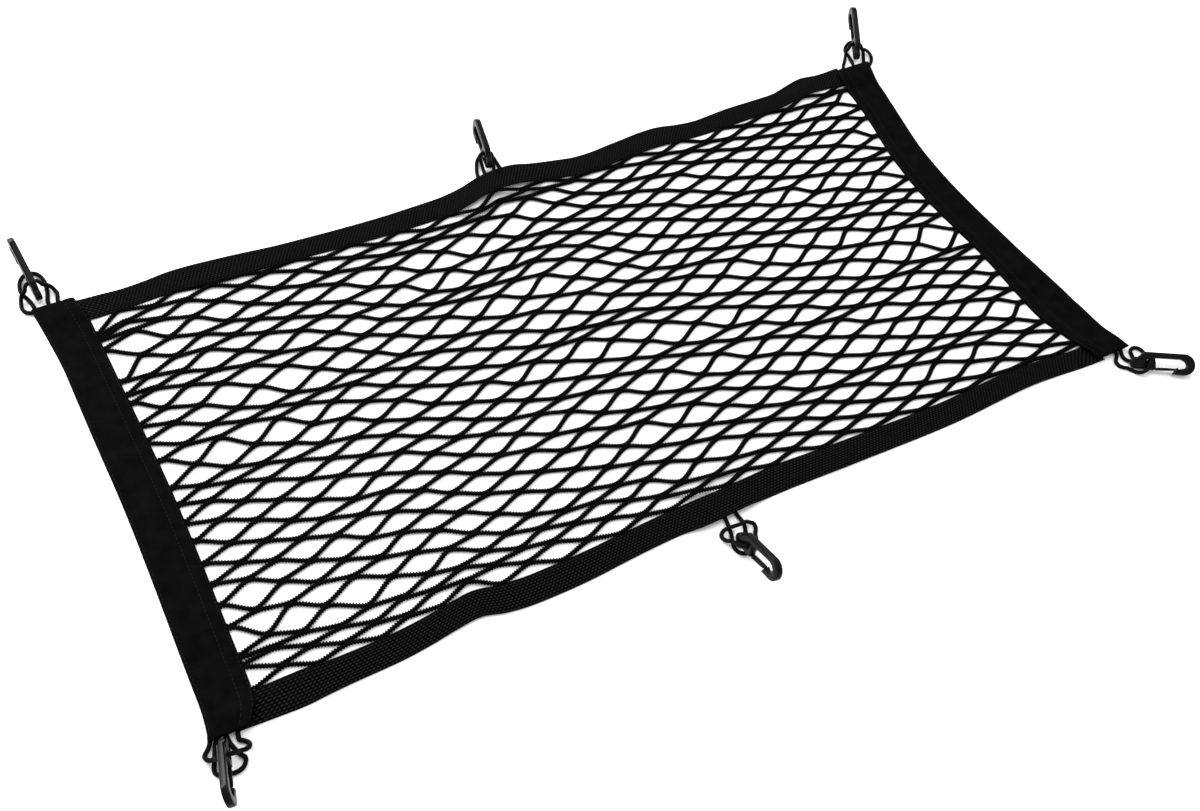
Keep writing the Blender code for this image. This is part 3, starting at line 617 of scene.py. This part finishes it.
def knitted_strand(path):
    """Rings of points round one cord, toothed by its knitted cover and pressed flat at its ends."""
    count = len(path)
    tangent = unit(np.gradient(path, axis=0))
    side = unit(np.cross((0, 0, 1), tangent))
    rise = np.cross(tangent, side)
    ring = np.arange(count)
    alternate = np.where(ring % 2 == 0, 1.0, -1.0)[:, None]
    angle = np.arange(CORD_SIDES) / CORD_SIDES * 2 * math.pi
    radius = NET_CORD / 2 * (1 + KNIT_BEAD * alternate)
    across = np.cos(angle)[None, :] * radius + KNIT_SWAY * alternate
    along_end = np.minimum(ring, count - 1 - ring) * KNIT_STEP
    press = np.clip(1 - (along_end - UNDER_SLEEVE) / SQUASH_REACH, 0, 1)[:, None]
    half = radius * (1 - press) + SQUASHED_HALF * press
    up = np.sin(angle)[None, :] * half
    centre = path.copy()
    centre[:, 2] += (SQUASHED_HEIGHT - NET_CENTRE_HEIGHT) * press[:, 0]
    rings = centre[:, None] + side[:, None] * across[..., None] + rise[:, None] * up[..., None]
    return rings.reshape(-1, 3)


def net(surface):
    """The net's cords, in a few pieces."""
    joints = net_joints()
    groups = np.array_split(np.arange(NET_LEVELS), NET_PIECES)
    for number, group in enumerate(groups, start=1):
        points = []
        faces = []
        for strand in group:
            path = strand_path(strand, joints)
            faces += ring_faces(len(path), CORD_SIDES, first=sum(len(p) for p in points))
            points.append(knitted_strand(path))
        mesh_piece(f"net_cords_{number}", np.vstack(points), faces, surface,
                   replaces=("net_mesh",))


# ---------------------------------------------------------------- sleeves

# The folded cloth's line across a sleeve: share of the width from its outer edge, and height
Fold = namedtuple("Fold", "share height")
SLEEVE_FOLD = (
    Fold(0.985, 0.35), Fold(0.90, 0.30), Fold(0.60, 0.30), Fold(0.30, 0.30), Fold(0.06, 0.32),
    Fold(0.005, 0.62), Fold(0.00, 1.15), Fold(0.02, 1.85), Fold(0.09, 2.30), Fold(0.25, 2.42),
    Fold(0.45, 2.36), Fold(0.62, 2.22), Fold(0.70, 2.02), Fold(0.74, 2.06), Fold(0.80, 2.62),
    Fold(0.88, 2.56), Fold(0.955, 2.30), Fold(0.995, 1.80), Fold(0.985, 1.32), Fold(0.93, 1.36),
    Fold(0.80, 1.50),
)
# Soft troughs: place, as shares of the way along and across a sleeve, reach along it, width as a
# share of the sleeve's, depth and slant
Crease = namedtuple("Crease", "along across reach width depth slant")
CREASES = {
    "sleeve_left": (
        Crease(0.06, 0.40, 14, 0.30, 0.5, 0.3), Crease(0.15, 0.55, 8, 0.5, 0.35, -0.2),
        Crease(0.27, 0.30, 10, 0.4, 0.45, 0.2), Crease(0.38, 0.60, 7, 0.5, 0.3, 0.1),
        Crease(0.52, 0.35, 12, 0.4, 0.5, -0.3), Crease(0.63, 0.55, 8, 0.45, 0.35, 0.2),
        Crease(0.75, 0.40, 10, 0.4, 0.45, 0.0), Crease(0.86, 0.55, 8, 0.5, 0.4, -0.2),
        Crease(0.95, 0.35, 8, 0.4, 0.45, 0.3),
    ),
    "sleeve_right": (
        Crease(0.05, 0.45, 9, 0.4, 0.5, 0.2), Crease(0.14, 0.35, 8, 0.5, 0.4, -0.3),
        Crease(0.24, 0.55, 9, 0.4, 0.45, 0.1), Crease(0.35, 0.40, 11, 0.5, 0.5, 0.2),
        Crease(0.47, 0.55, 8, 0.4, 0.4, -0.2), Crease(0.58, 0.35, 10, 0.45, 0.5, 0.3),
        Crease(0.70, 0.50, 8, 0.5, 0.4, -0.1), Crease(0.82, 0.40, 10, 0.4, 0.5, 0.2),
        Crease(0.93, 0.50, 8, 0.5, 0.45, 0.0),
    ),
}


def crease_depth(name, along, across, length):
    """How far the creases press a sleeve's top down, at shares along and across it."""
    depth = np.zeros(np.broadcast(along, across).shape)
    for crease in CREASES[name]:
        slant = crease.slant * (across - crease.across) * SLANT_RUN
        offset = (along - crease.along) * length - slant
        depth += crease.depth * np.exp(
            -(offset / crease.reach) ** 2 - ((across - crease.across) / crease.width) ** 2
        )
    stray = RIPPLE_STRAY * np.sin(along * RIPPLE_STRAY_RATE)
    ripple = RIPPLE_DEPTH * np.sin(along * length / RIPPLE_LENGTH + stray)
    return depth + ripple * np.clip(across - RIPPLE_START, 0, RIPPLE_BLEND) / RIPPLE_BLEND


def sleeve(name, surface):
    """Cloth folded round the net's end, its cut edge turned under and sewn down along the net.

    Returns the piece, and the cloth's flat size in metres.
    """
    rows = SLEEVES[name]
    length = rows[-1, OUTER_Y] - rows[0, OUTER_Y]
    rings = round(length / CLOTH_STEP_ALONG) + 1
    along = np.linspace(0, 1, rings)
    outer_x, outer_y, inner_x, _, lift = smooth(rows, along).T[:, :, None]
    width = np.abs(inner_x - outer_x).mean()
    fold = np.array([(f.share * width, f.height, 0.0) for f in SLEEVE_FOLD])
    line = even_points(fold, CLOTH_STEP_ACROSS)[:, :2]
    flat_width = np.linalg.norm(np.diff(line, axis=0), axis=1).sum()
    run = unit(np.gradient(line, axis=0))
    out = np.column_stack([-run[:, 1], run[:, 0]]) * CLOTH_HALF
    loop = np.vstack([line + out, (line - out)[::-1]])
    share = loop[:, 0] / width
    height = loop[:, 1]
    on_top = np.clip((height - TOP_START) / TOP_BLEND, 0, 1)
    depth = crease_depth(name, along[:, None], share[None, :], length) * on_top[None, :]
    x = outer_x + (inner_x - outer_x) * share[None, :]
    y = outer_y + np.zeros_like(x)
    z = lift + height[None, :] - depth
    points = np.stack([x, y, z], axis=-1).reshape(-1, 3)
    piece = mesh_piece(name + "_cloth", points, strip_faces(rings, len(loop)), surface,
                       replaces=(name,))
    return piece, (flat_width * MM, length * MM)


def strip_faces(rings, sides):
    """Faces of a strip whose rings go round a thin layer, its ends closed across the layer."""
    faces = ring_faces(rings, sides, capped=False)
    last = (rings - 1) * sides
    for i in range(sides // 2 - 1):
        j = sides - 1 - i
        faces.append([i, j, j - 1, i + 1])
        faces.append([last + i, last + i + 1, last + j - 1, last + j])
    return faces


def strip_place(name, along, share, height):
    """A place on a strip, from shares along and across it and a height above its lift."""
    row = smooth((SLEEVES | BANDS)[name], np.array([along]))[0]
    x = row[OUTER_X] + (row[INNER_X] - row[OUTER_X]) * share
    y = row[OUTER_Y] + (row[INNER_Y] - row[OUTER_Y]) * share
    return Vector((x, y, row[LIFT] + height))


def stitch_points(start, end):
    """Rings of one stitch: a short thread that dips into the cloth at both ends."""
    along = (end - start).normalized()
    side = Vector((0, 0, 1)).cross(along).normalized()
    points = []
    for share, radius in STITCH_SHAPE:
        dip = STITCH_SAG * (2 * share - 1) ** 4
        centre = start.lerp(end, share) - Vector((0, 0, dip))
        for i in range(STITCH_SIDES):
            angle = 2 * math.pi * i / STITCH_SIDES
            rise = Vector((0, 0, math.sin(angle) * radius))
            points.append(centre + side * math.cos(angle) * radius + rise)
    return points


# Lines of stitching on each sleeve: share across it, and height above its lift
Seam = namedtuple("Seam", "share height")
SEAMS = (Seam(0.725, 2.28), Seam(0.955, 2.55), Seam(0.05, 2.30))


def stitching(name, surface):
    """Straight rows of sewing along a sleeve."""
    rows = SLEEVES[name]
    length = rows[-1, OUTER_Y] - rows[0, OUTER_Y]
    points = []
    faces = []
    for seam in SEAMS:
        for i in range(1, int(length / STITCH_PITCH)):
            along = i * STITCH_PITCH / length
            until = along + STITCH_LENGTH / length
            ends = []
            for place in (along, until):
                spot = strip_place(name, place, seam.share, seam.height)
                spot.z -= crease_depth(name, place, seam.share, length)
                ends.append(spot)
            faces += ring_faces(len(STITCH_SHAPE), STITCH_SIDES, first=len(points))
            points += stitch_points(*ends)
    mesh_piece(name + "_stitches", np.array(points), faces, surface)


# ---------------------------------------------------------------- bands

def band(name, surface):
    """Elastic webbing: ribs along it, knots staggered from rib to rib, and ends in the sleeves.

    Returns the piece, and the webbing's flat size in metres.
    """
    rows = BANDS[name]
    length = np.linalg.norm(np.diff((rows[:, :2] + rows[:, 2:4]) / 2, axis=0), axis=1).sum()
    rings = round(length / BAND_STEP) + 1
    along = np.linspace(0, 1, rings)
    outer_x, outer_y, inner_x, inner_y, lift = smooth(rows, along).T[:, :, None]
    reach = (along - 0.5) * 2
    tuck = np.sign(reach) * np.abs(reach) ** TUCK_POWER * BAND_TUCK
    steps = BAND_RIBS * BAND_STEPS_A_RIB
    top = np.linspace(0, 1, steps + 1)
    bottom = np.linspace(1, 0, BAND_UNDER_STEPS + 1)[1:-1]
    share = np.concatenate([top, bottom])
    rounding = (1 - np.abs(2 * share - 1) ** EDGE_FLATNESS) ** 0.5
    is_top = np.arange(len(share)) < len(top)
    half = BAND_THICKNESS / 2
    rib = np.floor(share * BAND_RIBS * JUST_INSIDE)
    ridge = np.abs(np.sin(math.pi * BAND_RIBS * share)) ** RIB_FULLNESS
    row = np.arange(rings)[:, None] // BAND_RINGS_A_KNOT
    knot = np.where((row + rib[None, :]) % 2 == 0, 1.0, -1.0)
    # How far each corner counts as raised; it sets only the painted shade in the grooves and the painted light on
    # ribs and knots
    raised = ridge[None, :] * (RIB_RAISED + KNOT_RAISED * knot)
    knot = knot * ridge[None, :]
    relief = (ridge[None, :] * BAND_RIB_HEIGHT + knot * BAND_KNOT_HEIGHT) * rounding[None, :]
    height = half + np.where(is_top, 1.0, -1.0)[None, :] * (half * rounding[None, :])
    height = height + np.where(is_top[None, :], relief - BAND_RIB_HEIGHT / 2, 0.0)
    ends = np.minimum(along, 1 - along)[:, None] * length
    press = np.clip(1 - (ends - BAND_TUCK * BAND_TUCK_TAKEN) / SQUASH_REACH, 0, 1)
    pressed = SQUASHED_HEIGHT + (height - half) * BAND_PRESSED_SHARE
    height = height * (1 - press) + pressed * press
    x = outer_x + (inner_x - outer_x) * share[None, :] + tuck[:, None]
    y = outer_y + (inner_y - outer_y) * share[None, :]
    z = lift + height + BAND_CLEARANCE
    points = np.stack([x, y, z], axis=-1).reshape(-1, 3)
    width = np.hypot(inner_x - outer_x, inner_y - outer_y).mean()
    piece = mesh_piece(name + "_webbing", points, ring_faces(rings, len(share)), surface,
                       replaces=(name,))
    piece.data.attributes.new(RAISED, "FLOAT", "POINT").data.foreach_set("value", raised.ravel())
    return piece, (width * MM, length * MM)


# ---------------------------------------------------------------- hooks and cord loops

def hook_frame(where):
    """A hook's own frame, from its gate's hinge and its seat: origin, length, spine and normal."""
    hinge = next(j for j in frame["joints"] if j["child"] == "gate_" + where)
    seat = next(m for m in frame["record"]["mounts"] if m["name"] == "hook_seat_" + where)
    normal = Vector(hinge["axis"]).normalized()
    length = -Vector(seat["axis"]).normalized()
    spine = normal.cross(length).normalized()
    origin = Vector(hinge["pos_m"]) / MM - length * GATE_ALONG - spine * GATE_ACROSS
    return origin, length, spine, normal


def frame_matrix(origin, length, spine, normal):
    """The turn and shift from a hook's own frame, in metres."""
    turn = Matrix((length, spine, normal)).transposed().to_4x4()
    return Matrix.Translation(origin * MM) @ turn


def arc(centre_along, centre_across, radius_along, radius_across, start, end, steps):
    """Points on a stretch of an ellipse, its angles in degrees."""
    points = []
    for step in range(steps + 1):
        angle = math.radians(start + (end - start) * step / steps)
        points.append((centre_along + radius_along * math.cos(angle),
                       centre_across + radius_across * math.sin(angle)))
    return points


def hook_outline():
    """Two halves of the hook's outline, below and above the line through its eye."""
    half = HOOK_WIDTH / 2
    inner = half - SPINE_WIDTH
    mouth_end = HOOK_LENGTH - TIP_THICKNESS
    base = BASE_RADIUS
    lower = arc(base, BASE_CENTRE_ACROSS, base, base, 180, 265, BASE_STEPS)
    lower += [
        (BLOCK_END - BLOCK_CORNER_ALONG, BLOCK_UNDERSIDE),
        (BLOCK_END, BLOCK_UNDERSIDE + BLOCK_CORNER_ACROSS),
        (BLOCK_END, EYE_ACROSS),
    ]
    lower += arc(EYE_ALONG, EYE_ACROSS, EYE_RADIUS, EYE_RADIUS, 360, 180, EYE_STEPS)
    upper = [(BLOCK_END, EYE_ACROSS), (BLOCK_END - BLOCK_TOP_SLOPE, inner)]
    upper += arc(mouth_end - BEND_RADIUS, BEND_CENTRE_ACROSS,
                 BEND_RADIUS, inner - BEND_CENTRE_ACROSS, 90, -50, BEND_STEPS)
    upper += [(NOSE_START + along, -half + across) for along, across in NOSE_CORNERS]
    upper += arc(HOOK_LENGTH - half, 0.0, half, half, -90, 90, TIP_STEPS)
    upper += [(BLOCK_TOP_START, half)]
    upper += arc(base, BASE_CENTRE_ACROSS, base, base, 75, 180, BASE_STEPS)
    upper += arc(EYE_ALONG, EYE_ACROSS, EYE_RADIUS, EYE_RADIUS, 180, 0, EYE_STEPS)
    return lower, upper


def gate_outline():
    """The sprung tongue, about its hinge: a round root and a slim blade."""
    reach = NOSE_START - GATE_ALONG
    root = arc(0, 0, GATE_ROOT_RADIUS, GATE_ROOT_RADIUS, 90, 270, GATE_ROOT_STEPS)
    return root + [(reach + along, across) for along, across in BLADE_CORNERS]


def plate_mesh(name, outlines, thickness, edge):
    """A flat plate with rounded edges, centred on its plane, from outlines that share corners."""
    bm = bmesh.new()
    corners = {}
    for outline in outlines:
        face = []
        for along, across in outline:
            key = round(along, 4), round(across, 4)
            if key not in corners:
                corners[key] = bm.verts.new((along * MM, across * MM, -thickness / 2 * MM))
            if not face or face[-1] is not corners[key]:
                face.append(corners[key])
        bm.faces.new(face)
    raised = bmesh.ops.extrude_face_region(bm, geom=list(bm.faces))["geom"]
    raised = [thing for thing in raised if isinstance(thing, bmesh.types.BMVert)]
    bmesh.ops.translate(bm, verts=raised, vec=(0, 0, thickness * MM))
    bmesh.ops.recalc_face_normals(bm, faces=bm.faces)
    bevel_above = math.radians(BEVEL_ABOVE_DEGREES)
    rims = [e for e in bm.edges if len(e.link_faces) == 2 and e.calc_face_angle() > bevel_above]
    bmesh.ops.bevel(bm, geom=rims, offset=edge * MM, segments=EDGE_SEGMENTS, profile=0.5,
                    affect="EDGES", clamp_overlap=True)
    mesh = bpy.data.meshes.new(name)
    bm.to_mesh(mesh)
    bm.free()
    mesh.shade_smooth()
    mesh.set_sharp_from_angle(angle=math.radians(SMOOTH_BELOW_DEGREES))
    return mesh


def hook_and_gate(where, surface):
    """A hook's moulding, and its sprung tongue, which rides on a body of its own."""
    matrix = frame_matrix(*hook_frame(where))
    gate_matrix = matrix @ Matrix.Translation(Vector((GATE_ALONG, GATE_ACROSS, 0)) * MM)
    hook_node, gate_node = "hook_" + where, "gate_" + where
    hook = plate_mesh(hook_node + "_moulding", hook_outline(), HOOK_THICKNESS, HOOK_EDGE)
    gate = plate_mesh(gate_node + "_tongue", [gate_outline()], GATE_THICKNESS, GATE_EDGE)
    plan = ((hook, matrix, BODY, hook_node), (gate, gate_matrix, gate_node, gate_node))
    for mesh, place, body, node in plan:
        mesh.transform(place)
        dress(mesh, surface, body, (node,))


# A turn of a cord's route round its hook. On the ground: how far along the hook, to its left and
# up. On the hook: how far along it, to the left of its plane, and across towards its spine.
Turn = namedtuple("Turn", "frame along side height")


def on_ground(*places):
    """Turns measured on the ground."""
    return [Turn("ground", *place) for place in places]


def on_hook(*places):
    """Turns measured on the hook."""
    return [Turn("hook", *place) for place in places]


HITCHES = {
    "far_left": (
        *on_ground(
            (28.8, -1.2, 1.5), (27.6, -4.4, 1.5), (25.0, -7.0, 1.5), (21.2, -8.4, 1.5),
            (17.0, -8.7, 1.5), (13.0, -8.3, 1.5), (9.4, -7.6, 1.5), (6.0, -6.7, 1.5),
            (2.6, -5.4, 1.5), (-0.8, -4.2, 1.5), (-4.6, -4.0, 1.5), (-7.8, -5.6, 1.5),
            (-8.6, -8.4, 1.5), (-6.4, -10.3, 1.5), (-3.0, -10.2, 1.5), (0.2, -11.4, 1.5),
            (3.4, -12.3, 1.5), (6.4, -11.8, 1.9), (8.7, -10.7, 3.3), (10.6, -8.5, 4.9),
            (11.1, -6.1, 6.1),
        ),
        *on_hook(
            (12.2, -5.0, -1.0), (13.3, -3.5, 0.3), (13.5, -1.0, 0.5), (13.5, 1.0, 0.5),
            (13.3, 3.5, 0.3), (12.2, 5.0, -1.0),
        ),
        *on_ground(
            (11.0, 6.2, 6.0), (10.4, 8.6, 4.7), (8.4, 10.4, 3.0), (5.4, 11.8, 1.8),
            (2.0, 12.7, 1.5), (-1.4, 12.5, 1.5), (-4.2, 10.6, 1.5), (-4.9, 7.9, 1.5),
            (-2.8, 5.9, 1.5), (0.6, 5.7, 1.5), (4.2, 6.0, 1.5), (8.0, 6.8, 1.5),
            (12.0, 7.9, 1.5), (16.2, 8.3, 1.5), (20.4, 7.3, 1.5), (24.4, 5.5, 1.5),
            (27.4, 2.6, 1.5),
        ),
    ),
    "far_middle": (
        *on_ground(
            (21.2, -0.6, 1.5), (20.0, 2.0, 1.5), (17.4, 4.4, 1.5), (14.2, 6.4, 1.5),
            (10.4, 7.8, 1.5), (6.2, 8.8, 1.5), (1.8, 9.5, 1.5), (-2.6, 9.7, 1.5),
            (-6.6, 8.7, 1.5), (-8.2, 6.4, 1.5), (-6.4, 4.2, 1.5), (-2.2, 3.9, 1.5),
            (2.2, 4.0, 1.6), (6.4, 4.3, 3.4), (9.8, 4.8, 6.0),
        ),
        *on_hook(
            (12.2, 4.8, -1.0), (13.3, 3.5, 0.3), (13.5, 1.0, 0.5), (13.5, -1.0, 0.5),
            (13.3, -3.5, 0.3), (12.2, -4.8, -1.0),
        ),
        *on_ground(
            (9.8, -4.8, 6.0), (6.4, -4.3, 3.4), (2.2, -4.2, 1.6), (-2.2, -4.2, 1.5),
            (-6.4, -4.6, 1.5), (-8.4, -6.8, 1.5), (-6.8, -9.2, 1.5), (-2.8, -9.8, 1.5),
            (1.8, -9.4, 1.5), (6.4, -8.6, 1.5), (10.8, -7.7, 1.5), (14.6, -7.0, 1.5),
            (18.0, -5.4, 1.5), (20.2, -3.0, 1.5),
        ),
    ),
    "far_right": (
        *on_ground(
            (25.2, 0.0, 1.5), (23.4, 2.4, 1.5), (20.4, 4.8, 1.5), (17.0, 6.4, 1.5),
            (13.2, 7.1, 1.5), (9.8, 6.4, 1.5), (6.6, 5.0, 1.5), (3.4, 4.4, 1.5),
            (0.0, 3.6, 1.5), (-4.4, 3.4, 1.5), (-9.4, 4.2, 1.5), (-13.6, 6.2, 1.5),
            (-15.2, 9.4, 1.5), (-13.0, 12.2, 1.5), (-9.2, 12.9, 1.5), (-5.3, 12.5, 1.5),
            (-2.1, 11.2, 1.5), (1.7, 9.8, 1.6), (5.0, 8.8, 2.4), (7.6, 8.2, 3.6),
            (9.8, 7.4, 5.0), (11.0, 6.0, 6.2),
        ),
        *on_hook(
            (12.2, 5.0, -1.0), (13.3, 3.5, 0.3), (13.5, 1.0, 0.5), (13.5, -1.0, 0.5),
            (13.3, -3.5, 0.3), (12.2, -5.0, -1.0),
        ),
        *on_ground(
            (11.6, -6.4, 6.2), (12.2, -9.2, 5.0), (11.8, -12.0, 3.6), (9.6, -14.3, 2.3),
            (6.4, -15.0, 1.6), (2.8, -14.3, 1.5), (-0.8, -12.8, 1.5), (-3.4, -11.2, 1.5),
            (-6.2, -9.6, 1.5), (-6.4, -7.0, 1.5), (-3.6, -5.9, 1.5), (0.4, -6.8, 1.5),
            (4.2, -7.6, 1.5), (8.0, -8.1, 1.5), (12.0, -8.8, 1.5), (15.8, -9.0, 1.5),
            (19.6, -8.0, 1.5), (22.8, -5.6, 1.5), (24.8, -2.8, 1.5),
        ),
    ),
    "near_left": (
        *on_ground(
            (19.0, 1.4, 1.5), (18.6, 4.8, 1.5), (17.0, 8.0, 1.5), (14.4, 9.8, 1.5),
            (11.4, 10.2, 1.5), (8.4, 7.4, 1.5), (5.2, 5.2, 1.5), (2.4, 3.6, 1.5),
            (-0.8, 2.2, 1.5), (-4.2, 1.6, 1.5), (-7.4, 2.6, 1.5), (-8.4, 5.4, 1.5),
            (-6.4, 7.8, 1.5), (-2.8, 7.9, 1.5), (0.2, 8.4, 1.5), (1.4, 10.8, 1.5),
            (3.2, 13.2, 1.7), (5.6, 13.4, 2.6), (7.4, 11.4, 3.8), (8.2, 9.0, 5.0),
            (9.0, 7.2, 6.8),
        ),
        *on_hook(
            (11.4, 5.6, -1.8), (13.2, 3.7, 0.3), (13.5, 1.0, 0.5), (13.5, -1.0, 0.5),
            (13.2, -3.7, 0.3), (11.6, -5.2, -1.6),
        ),
        *on_ground(
            (10.2, -6.2, 6.0), (9.9, -8.9, 4.4), (8.0, -10.9, 3.0), (5.4, -11.5, 1.9),
            (2.8, -9.9, 1.5), (0.4, -8.6, 1.5), (-2.4, -7.8, 1.5), (-5.6, -7.6, 1.5),
            (-8.0, -6.2, 1.5), (-8.2, -3.6, 1.5), (-5.6, -2.2, 1.5), (-2.4, -3.8, 1.5),
            (0.6, -5.2, 1.5), (3.6, -5.7, 1.5), (7.0, -6.2, 1.5), (10.6, -6.8, 1.5),
            (14.0, -7.4, 1.5), (16.8, -6.9, 1.5), (18.8, -4.4, 1.5), (19.2, -1.4, 1.5),
        ),
    ),
    "near_middle": (
        *on_ground(
            (-27.0, 3.0, 1.5), (-21.0, 1.6, 1.5), (-15.4, 0.8, 1.5), (-11.9, 0.3, 1.5),
            (-8.6, -0.5, 1.5), (-5.2, -1.2, 1.5), (-1.6, -2.4, 1.5), (1.8, -3.9, 1.5),
            (5.2, -4.6, 1.5), (8.4, -3.9, 1.5), (10.8, -1.8, 1.5), (12.2, 1.4, 1.5),
            (12.4, 5.0, 1.5), (11.0, 8.4, 1.5), (8.2, 10.8, 1.5), (4.8, 12.2, 1.5),
            (1.6, 13.4, 1.5), (0.2, 14.6, 1.5), (-2.0, 16.0, 1.5), (-5.0, 16.3, 1.8),
            (-6.3, 14.0, 3.0), (-7.2, 11.2, 4.6), (-7.0, 9.6, 4.8), (-7.1, 5.4, 4.9),
            (-7.4, 1.6, 4.9), (-7.8, -2.4, 4.4), (-7.8, -5.6, 3.2), (-5.8, -8.2, 2.2),
            (-2.8, -8.3, 2.2), (-0.2, -7.0, 3.4), (1.4, -5.6, 5.0), (3.2, -5.0, 6.2),
        ),
        *on_hook(
            (8.6, -4.9, -1.8), (11.8, -5.0, -0.8), (13.3, -3.5, 0.3), (13.5, -1.0, 0.5),
            (13.5, 1.0, 0.5), (13.3, 3.5, 0.3), (11.6, 5.0, -0.9), (7.8, 5.0, -2.4),
        ),
        *on_ground(
            (3.6, 6.8, 4.8), (0.2, 7.4, 3.0), (-2.4, 8.2, 1.9), (-4.7, 9.3, 1.5),
            (-7.9, 10.3, 1.5), (-11.0, 10.2, 1.5), (-15.0, 9.6, 1.5), (-20.0, 9.2, 1.5),
            (-27.0, 8.8, 1.5), (-29.6, 6.0, 1.5),
        ),
    ),
    "near_right": (
        *on_hook(
            (13.5, -1.2, 0.5),
        ),
        *on_ground(
            (13.4, -2.2, 9.4), (12.6, -4.9, 8.8), (11.0, -7.4, 6.6), (8.2, -8.0, 3.6),
            (5.0, -7.0, 1.9), (1.8, -5.1, 1.5), (-1.6, -3.6, 1.5), (-4.8, -3.3, 1.5),
            (-7.6, -1.8, 1.5), (-8.8, 1.2, 1.5), (-8.0, 4.6, 1.5), (-7.0, 8.0, 1.5),
            (-7.6, 11.4, 1.5), (-8.4, 14.0, 1.5), (-6.8, 16.0, 1.5), (-4.2, 15.0, 1.5),
            (-3.2, 12.0, 1.5), (-3.0, 8.8, 1.5), (-2.2, 5.8, 1.5), (0.2, 3.5, 1.5),
            (3.4, 3.6, 1.5), (4.9, 6.2, 1.5), (4.6, 9.6, 1.5), (4.4, 12.8, 1.5),
            (6.2, 15.6, 1.5), (9.2, 16.5, 1.5), (12.2, 15.6, 1.5), (14.3, 13.0, 1.5),
            (15.0, 9.4, 1.5), (13.9, 5.8, 1.9),
        ),
        *on_hook(
            (13.5, 2.6, 0.5),
        ),
    ),
}


def turn_point(turn, origin, length, spine, normal):
    """Where one point of a cord's route lies."""
    if turn.frame == "hook":
        return origin + length * turn.along + spine * turn.height - normal * turn.side
    ahead = Vector((length.x, length.y, 0)).normalized()
    left = Vector((-ahead.y, ahead.x, 0))
    return Vector((origin.x, origin.y, turn.height)) + ahead * turn.along + left * turn.side


def carried_sides(path):
    """Directions along and across a closed path, carried on untwisted, and the turn left over."""
    tangent = unit(np.roll(path, -1, axis=0) - np.roll(path, 1, axis=0))
    side = unit(np.cross(tangent[0], ASKEW))
    sides = [side]
    for direction in tangent[1:]:
        side = side - direction * side.dot(direction)
        side = side / np.linalg.norm(side)
        sides.append(side)
    back = side - tangent[0] * side.dot(tangent[0])
    back = back / np.linalg.norm(back)
    turned = math.atan2(np.cross(back, sides[0]).dot(tangent[0]), back.dot(sides[0]))
    return tangent, np.array(sides), turned


def cord_loop(where, surface):
    """The elastic cord that hitches a hook to the net's edge, its cover plaited."""
    own_frame = hook_frame(where)
    route = [turn_point(turn, *own_frame) for turn in HITCHES[where]]
    path = even_points(route, LOOP_STEP, closed=True)
    tangent, side, turned = carried_sides(path)
    up = np.cross(tangent, side)
    count = len(path)
    length = count * LOOP_STEP
    plaits = round(length / LOOP_PLAIT)
    ring = np.arange(count)[:, None]
    around = np.arange(LOOP_SIDES)[None, :] / LOOP_SIDES * 2 * math.pi
    twist = 2 * math.pi * plaits * ring / count
    relief = np.cos(LOOP_STRANDS * around + twist) * np.cos(LOOP_STRANDS * around - twist)
    radius = LOOP_CORD / 2 * (1 + LOOP_RELIEF * relief)
    angle = around + turned * ring / count
    points = (
        path[:, None]
        + side[:, None] * (np.cos(angle) * radius)[..., None]
        + up[:, None] * (np.sin(angle) * radius)[..., None]
    ).reshape(-1, 3)
    node = "loop_" + where
    mesh_piece(node + "_cord", points, ring_faces(count, LOOP_SIDES, closed=True), surface,
               replaces=(node,))


# ---------------------------------------------------------------- stage, light and camera

def stage():
    """A wide floor under the net."""
    points = np.array([(-1, -1, 0), (1, -1, 0), (1, 1, 0), (-1, 1, 0)]) * FLOOR_HALF
    mesh = bpy.data.meshes.new("floor")
    mesh.from_pydata(points * MM, [], [(0, 1, 2, 3)])
    mesh.materials.append(floor_material())
    floor = add_object("floor", mesh)


def lights():
    """Even light from all round, two soft lamps for the gloss, and colours shown as they are."""
    bpy.context.scene.view_settings.view_transform = "Standard"
    world = bpy.data.worlds.new("studio")
    bpy.context.scene.world = world
    world.use_nodes = True
    background = world.node_tree.nodes["Background"]
    background.inputs["Color"].default_value = (1.0, 1.0, 1.0, 1.0)
    background.inputs["Strength"].default_value = WORLD_STRENGTH
    for lamp in LAMPS:
        light = bpy.data.lights.new(lamp.name, "AREA")
        light.shape = "RECTANGLE"
        light.size, light.size_y = lamp.size_m
        light.energy = lamp.power_w
        made = add_object(lamp.name, light)
        made.location = lamp.place_m
        made.rotation_euler = (-Vector(lamp.place_m)).to_track_quat("-Z", "Y").to_euler()


def camera():
    """The photograph's view."""
    data = bpy.data.cameras.new("camera")
    data.lens = CAMERA_LENS
    data.sensor_width = CAMERA_SENSOR
    seen = add_object("camera", data)
    seen.location = CAMERA_PLACE_M
    seen.rotation_euler = [math.radians(angle) for angle in CAMERA_TURN]
    bpy.context.scene.camera = seen


def main():
    """Build the whole scene."""
    camera()
    lights()
    stage()
    knit = knitted_material()
    cloth = cloth_material()
    webbing = webbing_material()
    cord = loop_material()
    plastic = plastic_material()
    thread = thread_material()
    net(knit)
    for name in SLEEVES:
        piece, flat = sleeve(name, cloth)
        stitching(name, thread)
    for name in BANDS:
        piece, flat = band(name, webbing)
    for where in PLACES:
        hook_and_gate(where, plastic)
        cord_loop(where, cord)


main()
